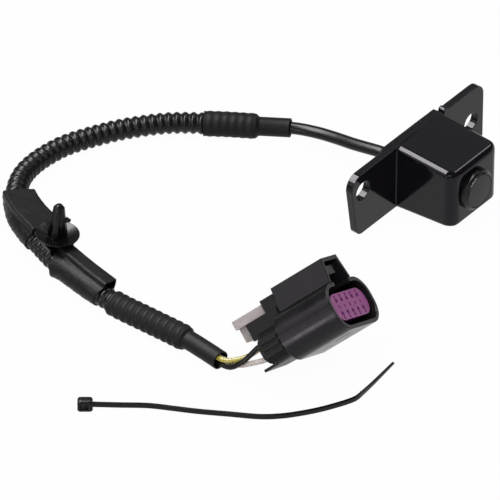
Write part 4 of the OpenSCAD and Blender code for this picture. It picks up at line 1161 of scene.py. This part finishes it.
teeth_end = tie_line.length - TEETH_SHORT_OF
teeth_line = line_mesh(tie_line.stretch(TEETH_FROM, teeth_end, TEETH_LINE_STEP))
teeth = grow("tie_teeth", teeth_tree(), teeth_line, {
    **{size: value * MM for size, value in TOOTH_SIZES.items()},
    "Material": finish["tie_plastic"].material})
stand_for(teeth, "cable_tie", replaces=False)
print("teeth", len(teeth.data.polygons), "faces")

# %% [markdown]
# ## Free cords and their lengths
# The cable, the conduit and the wires bend freely on the real kit. The plug's pieces are gathered
# in a list, and the lengths of the cable and the conduit are printed.

plug_pieces = [mouldings[n] for n in ("plug_shroud", "terminal_block", "latch_lever", "slide_lock")]
plug_pieces += [nodes[n] for n in ("terminal_retainer", "rear_cap", "shroud_seal", "wire_seal",
                                   "cavity_plugs", "terminals")]


def run_length(points):
    """The length of a line of points."""
    return sum((b - a).length for a, b in zip(points, points[1:]))


for node, path in wire_paths.items():
    wire_line = path.stretch(0, path.length, WIRE_STEP)
print("cable", round(run_length(cable_line), 4), "m, conduit", round(run_length(conduit_line), 4), "m")

# %% [markdown]
# ## Floor, lamps and world
# The photograph has a pure white ground and hardly any shadow. More light would bleach the object, so
# the floor itself glows white, but only for rays that come from the camera, a reflection or glass. All
# other light meets a plain pale floor, and a little of it still shows the object's shadow.

# %% Floor
FLOOR_SIDE = 12.0
GLOW_SHARE = 0.97
floor_material = bpy.data.materials.new("pale_floor")
floor_material.use_nodes = True
floor_graph = Graph(floor_material.node_tree)
floor_graph.tree.nodes.remove(floor_graph.tree.nodes["Principled BSDF"])
seen = [floor_graph.node("ShaderNodeLightPath", output=ray) for ray in
        ("Is Camera Ray", "Is Glossy Ray", "Is Transmission Ray")]
share = floor_graph.node("ShaderNodeMath", {"operation": "MINIMUM"},
                         {0: seen[0] + seen[1] + seen[2], 1: 1.0})
pale = floor_graph.node("ShaderNodeBsdfDiffuse", inputs={"Color": (0.9, 0.9, 0.9, 1)})
glow = floor_graph.node("ShaderNodeEmission", inputs={"Color": (1, 1, 1, 1), "Strength": 1.0})
mixed = floor_graph.node("ShaderNodeMixShader", inputs={0: share * GLOW_SHARE, 1: pale, 2: glow})
floor_graph.feed(floor_graph.tree.nodes["Material Output"].inputs["Surface"], mixed)
half = FLOOR_SIDE / 2
floor_mesh = bpy.data.meshes.new("floor")
floor_mesh.from_pydata([(sx * half, sy * half, 0) for sx, sy in SIGNS], [], [(0, 1, 2, 3)])
floor_mesh.materials.append(floor_material)
floor = linked("floor", floor_mesh)
print("floor", FLOOR_SIDE, "m wide")

# %% [markdown]
# The polished housing works like a mirror, so every lamp is placed by what it shows there. The top
# has to mirror darkness, its left fillet the wide overhead box, its front edge a thin strip. The side
# box makes the bright corner of the flange. The left and front boxes draw the soft bands along cable,
# conduit and plug, and the back box keeps the far side from going black. None of them lights the
# plastic's own colour: that is left to one wide fill, which no surface mirrors.


# %% Lamps and world
def lamp(name, towards, distance, size, brightness, aside=0.0, mirrored=True):
    """A softbox that the camera doesn't see. It is either mirrored by the plastics or lights them."""
    data = bpy.data.lights.new(name, "AREA")
    data.shape = "RECTANGLE"
    data.size, data.size_y = size
    data.energy = brightness * math.pi * size[0] * size[1]
    made = linked(name, data)
    way = Vector(towards).normalized()
    made.location = way * distance + Vector((aside, 0, 0))
    made.rotation_euler = way.to_track_quat("Z", "Y").to_euler()
    made.visible_camera = False
    made.visible_glossy = mirrored
    made.visible_diffuse = not mirrored
    return made


lamps = [
    lamp("overhead_softbox", (0, 0.5, 0.866), 0.9, (1.0, 0.3), 22, aside=-0.28),
    lamp("edge_softbox", (0.6, -0.07, 0.79), 0.8, (0.22, 0.3), 8),
    lamp("side_softbox", (-0.99, -0.03, 0.09), 0.9, (0.3, 0.16), 11),
    lamp("left_softbox", (-0.78, 0.48, 0.38), 1.1, (0.6, 0.5), 1.6),
    lamp("front_softbox", (-0.75, -0.35, 0.55), 1.4, (0.9, 0.6), 2.4),
    lamp("back_softbox", (0.6, 0.5, 0.63), 1.3, (0.9, 0.7), 0.45),
    lamp("soft_fill", (-0.25, -0.2, 1), 1.3, (1.6, 1.6), 2.1, mirrored=False),
]
WORLD_GREY = (0.12, 0.12, 0.12, 1)
world = scene.world or bpy.data.worlds.new("studio")
scene.world = world
world.use_nodes = True
world.node_tree.nodes["Background"].inputs["Color"].default_value = WORLD_GREY
print(len(lamps), "lamps")
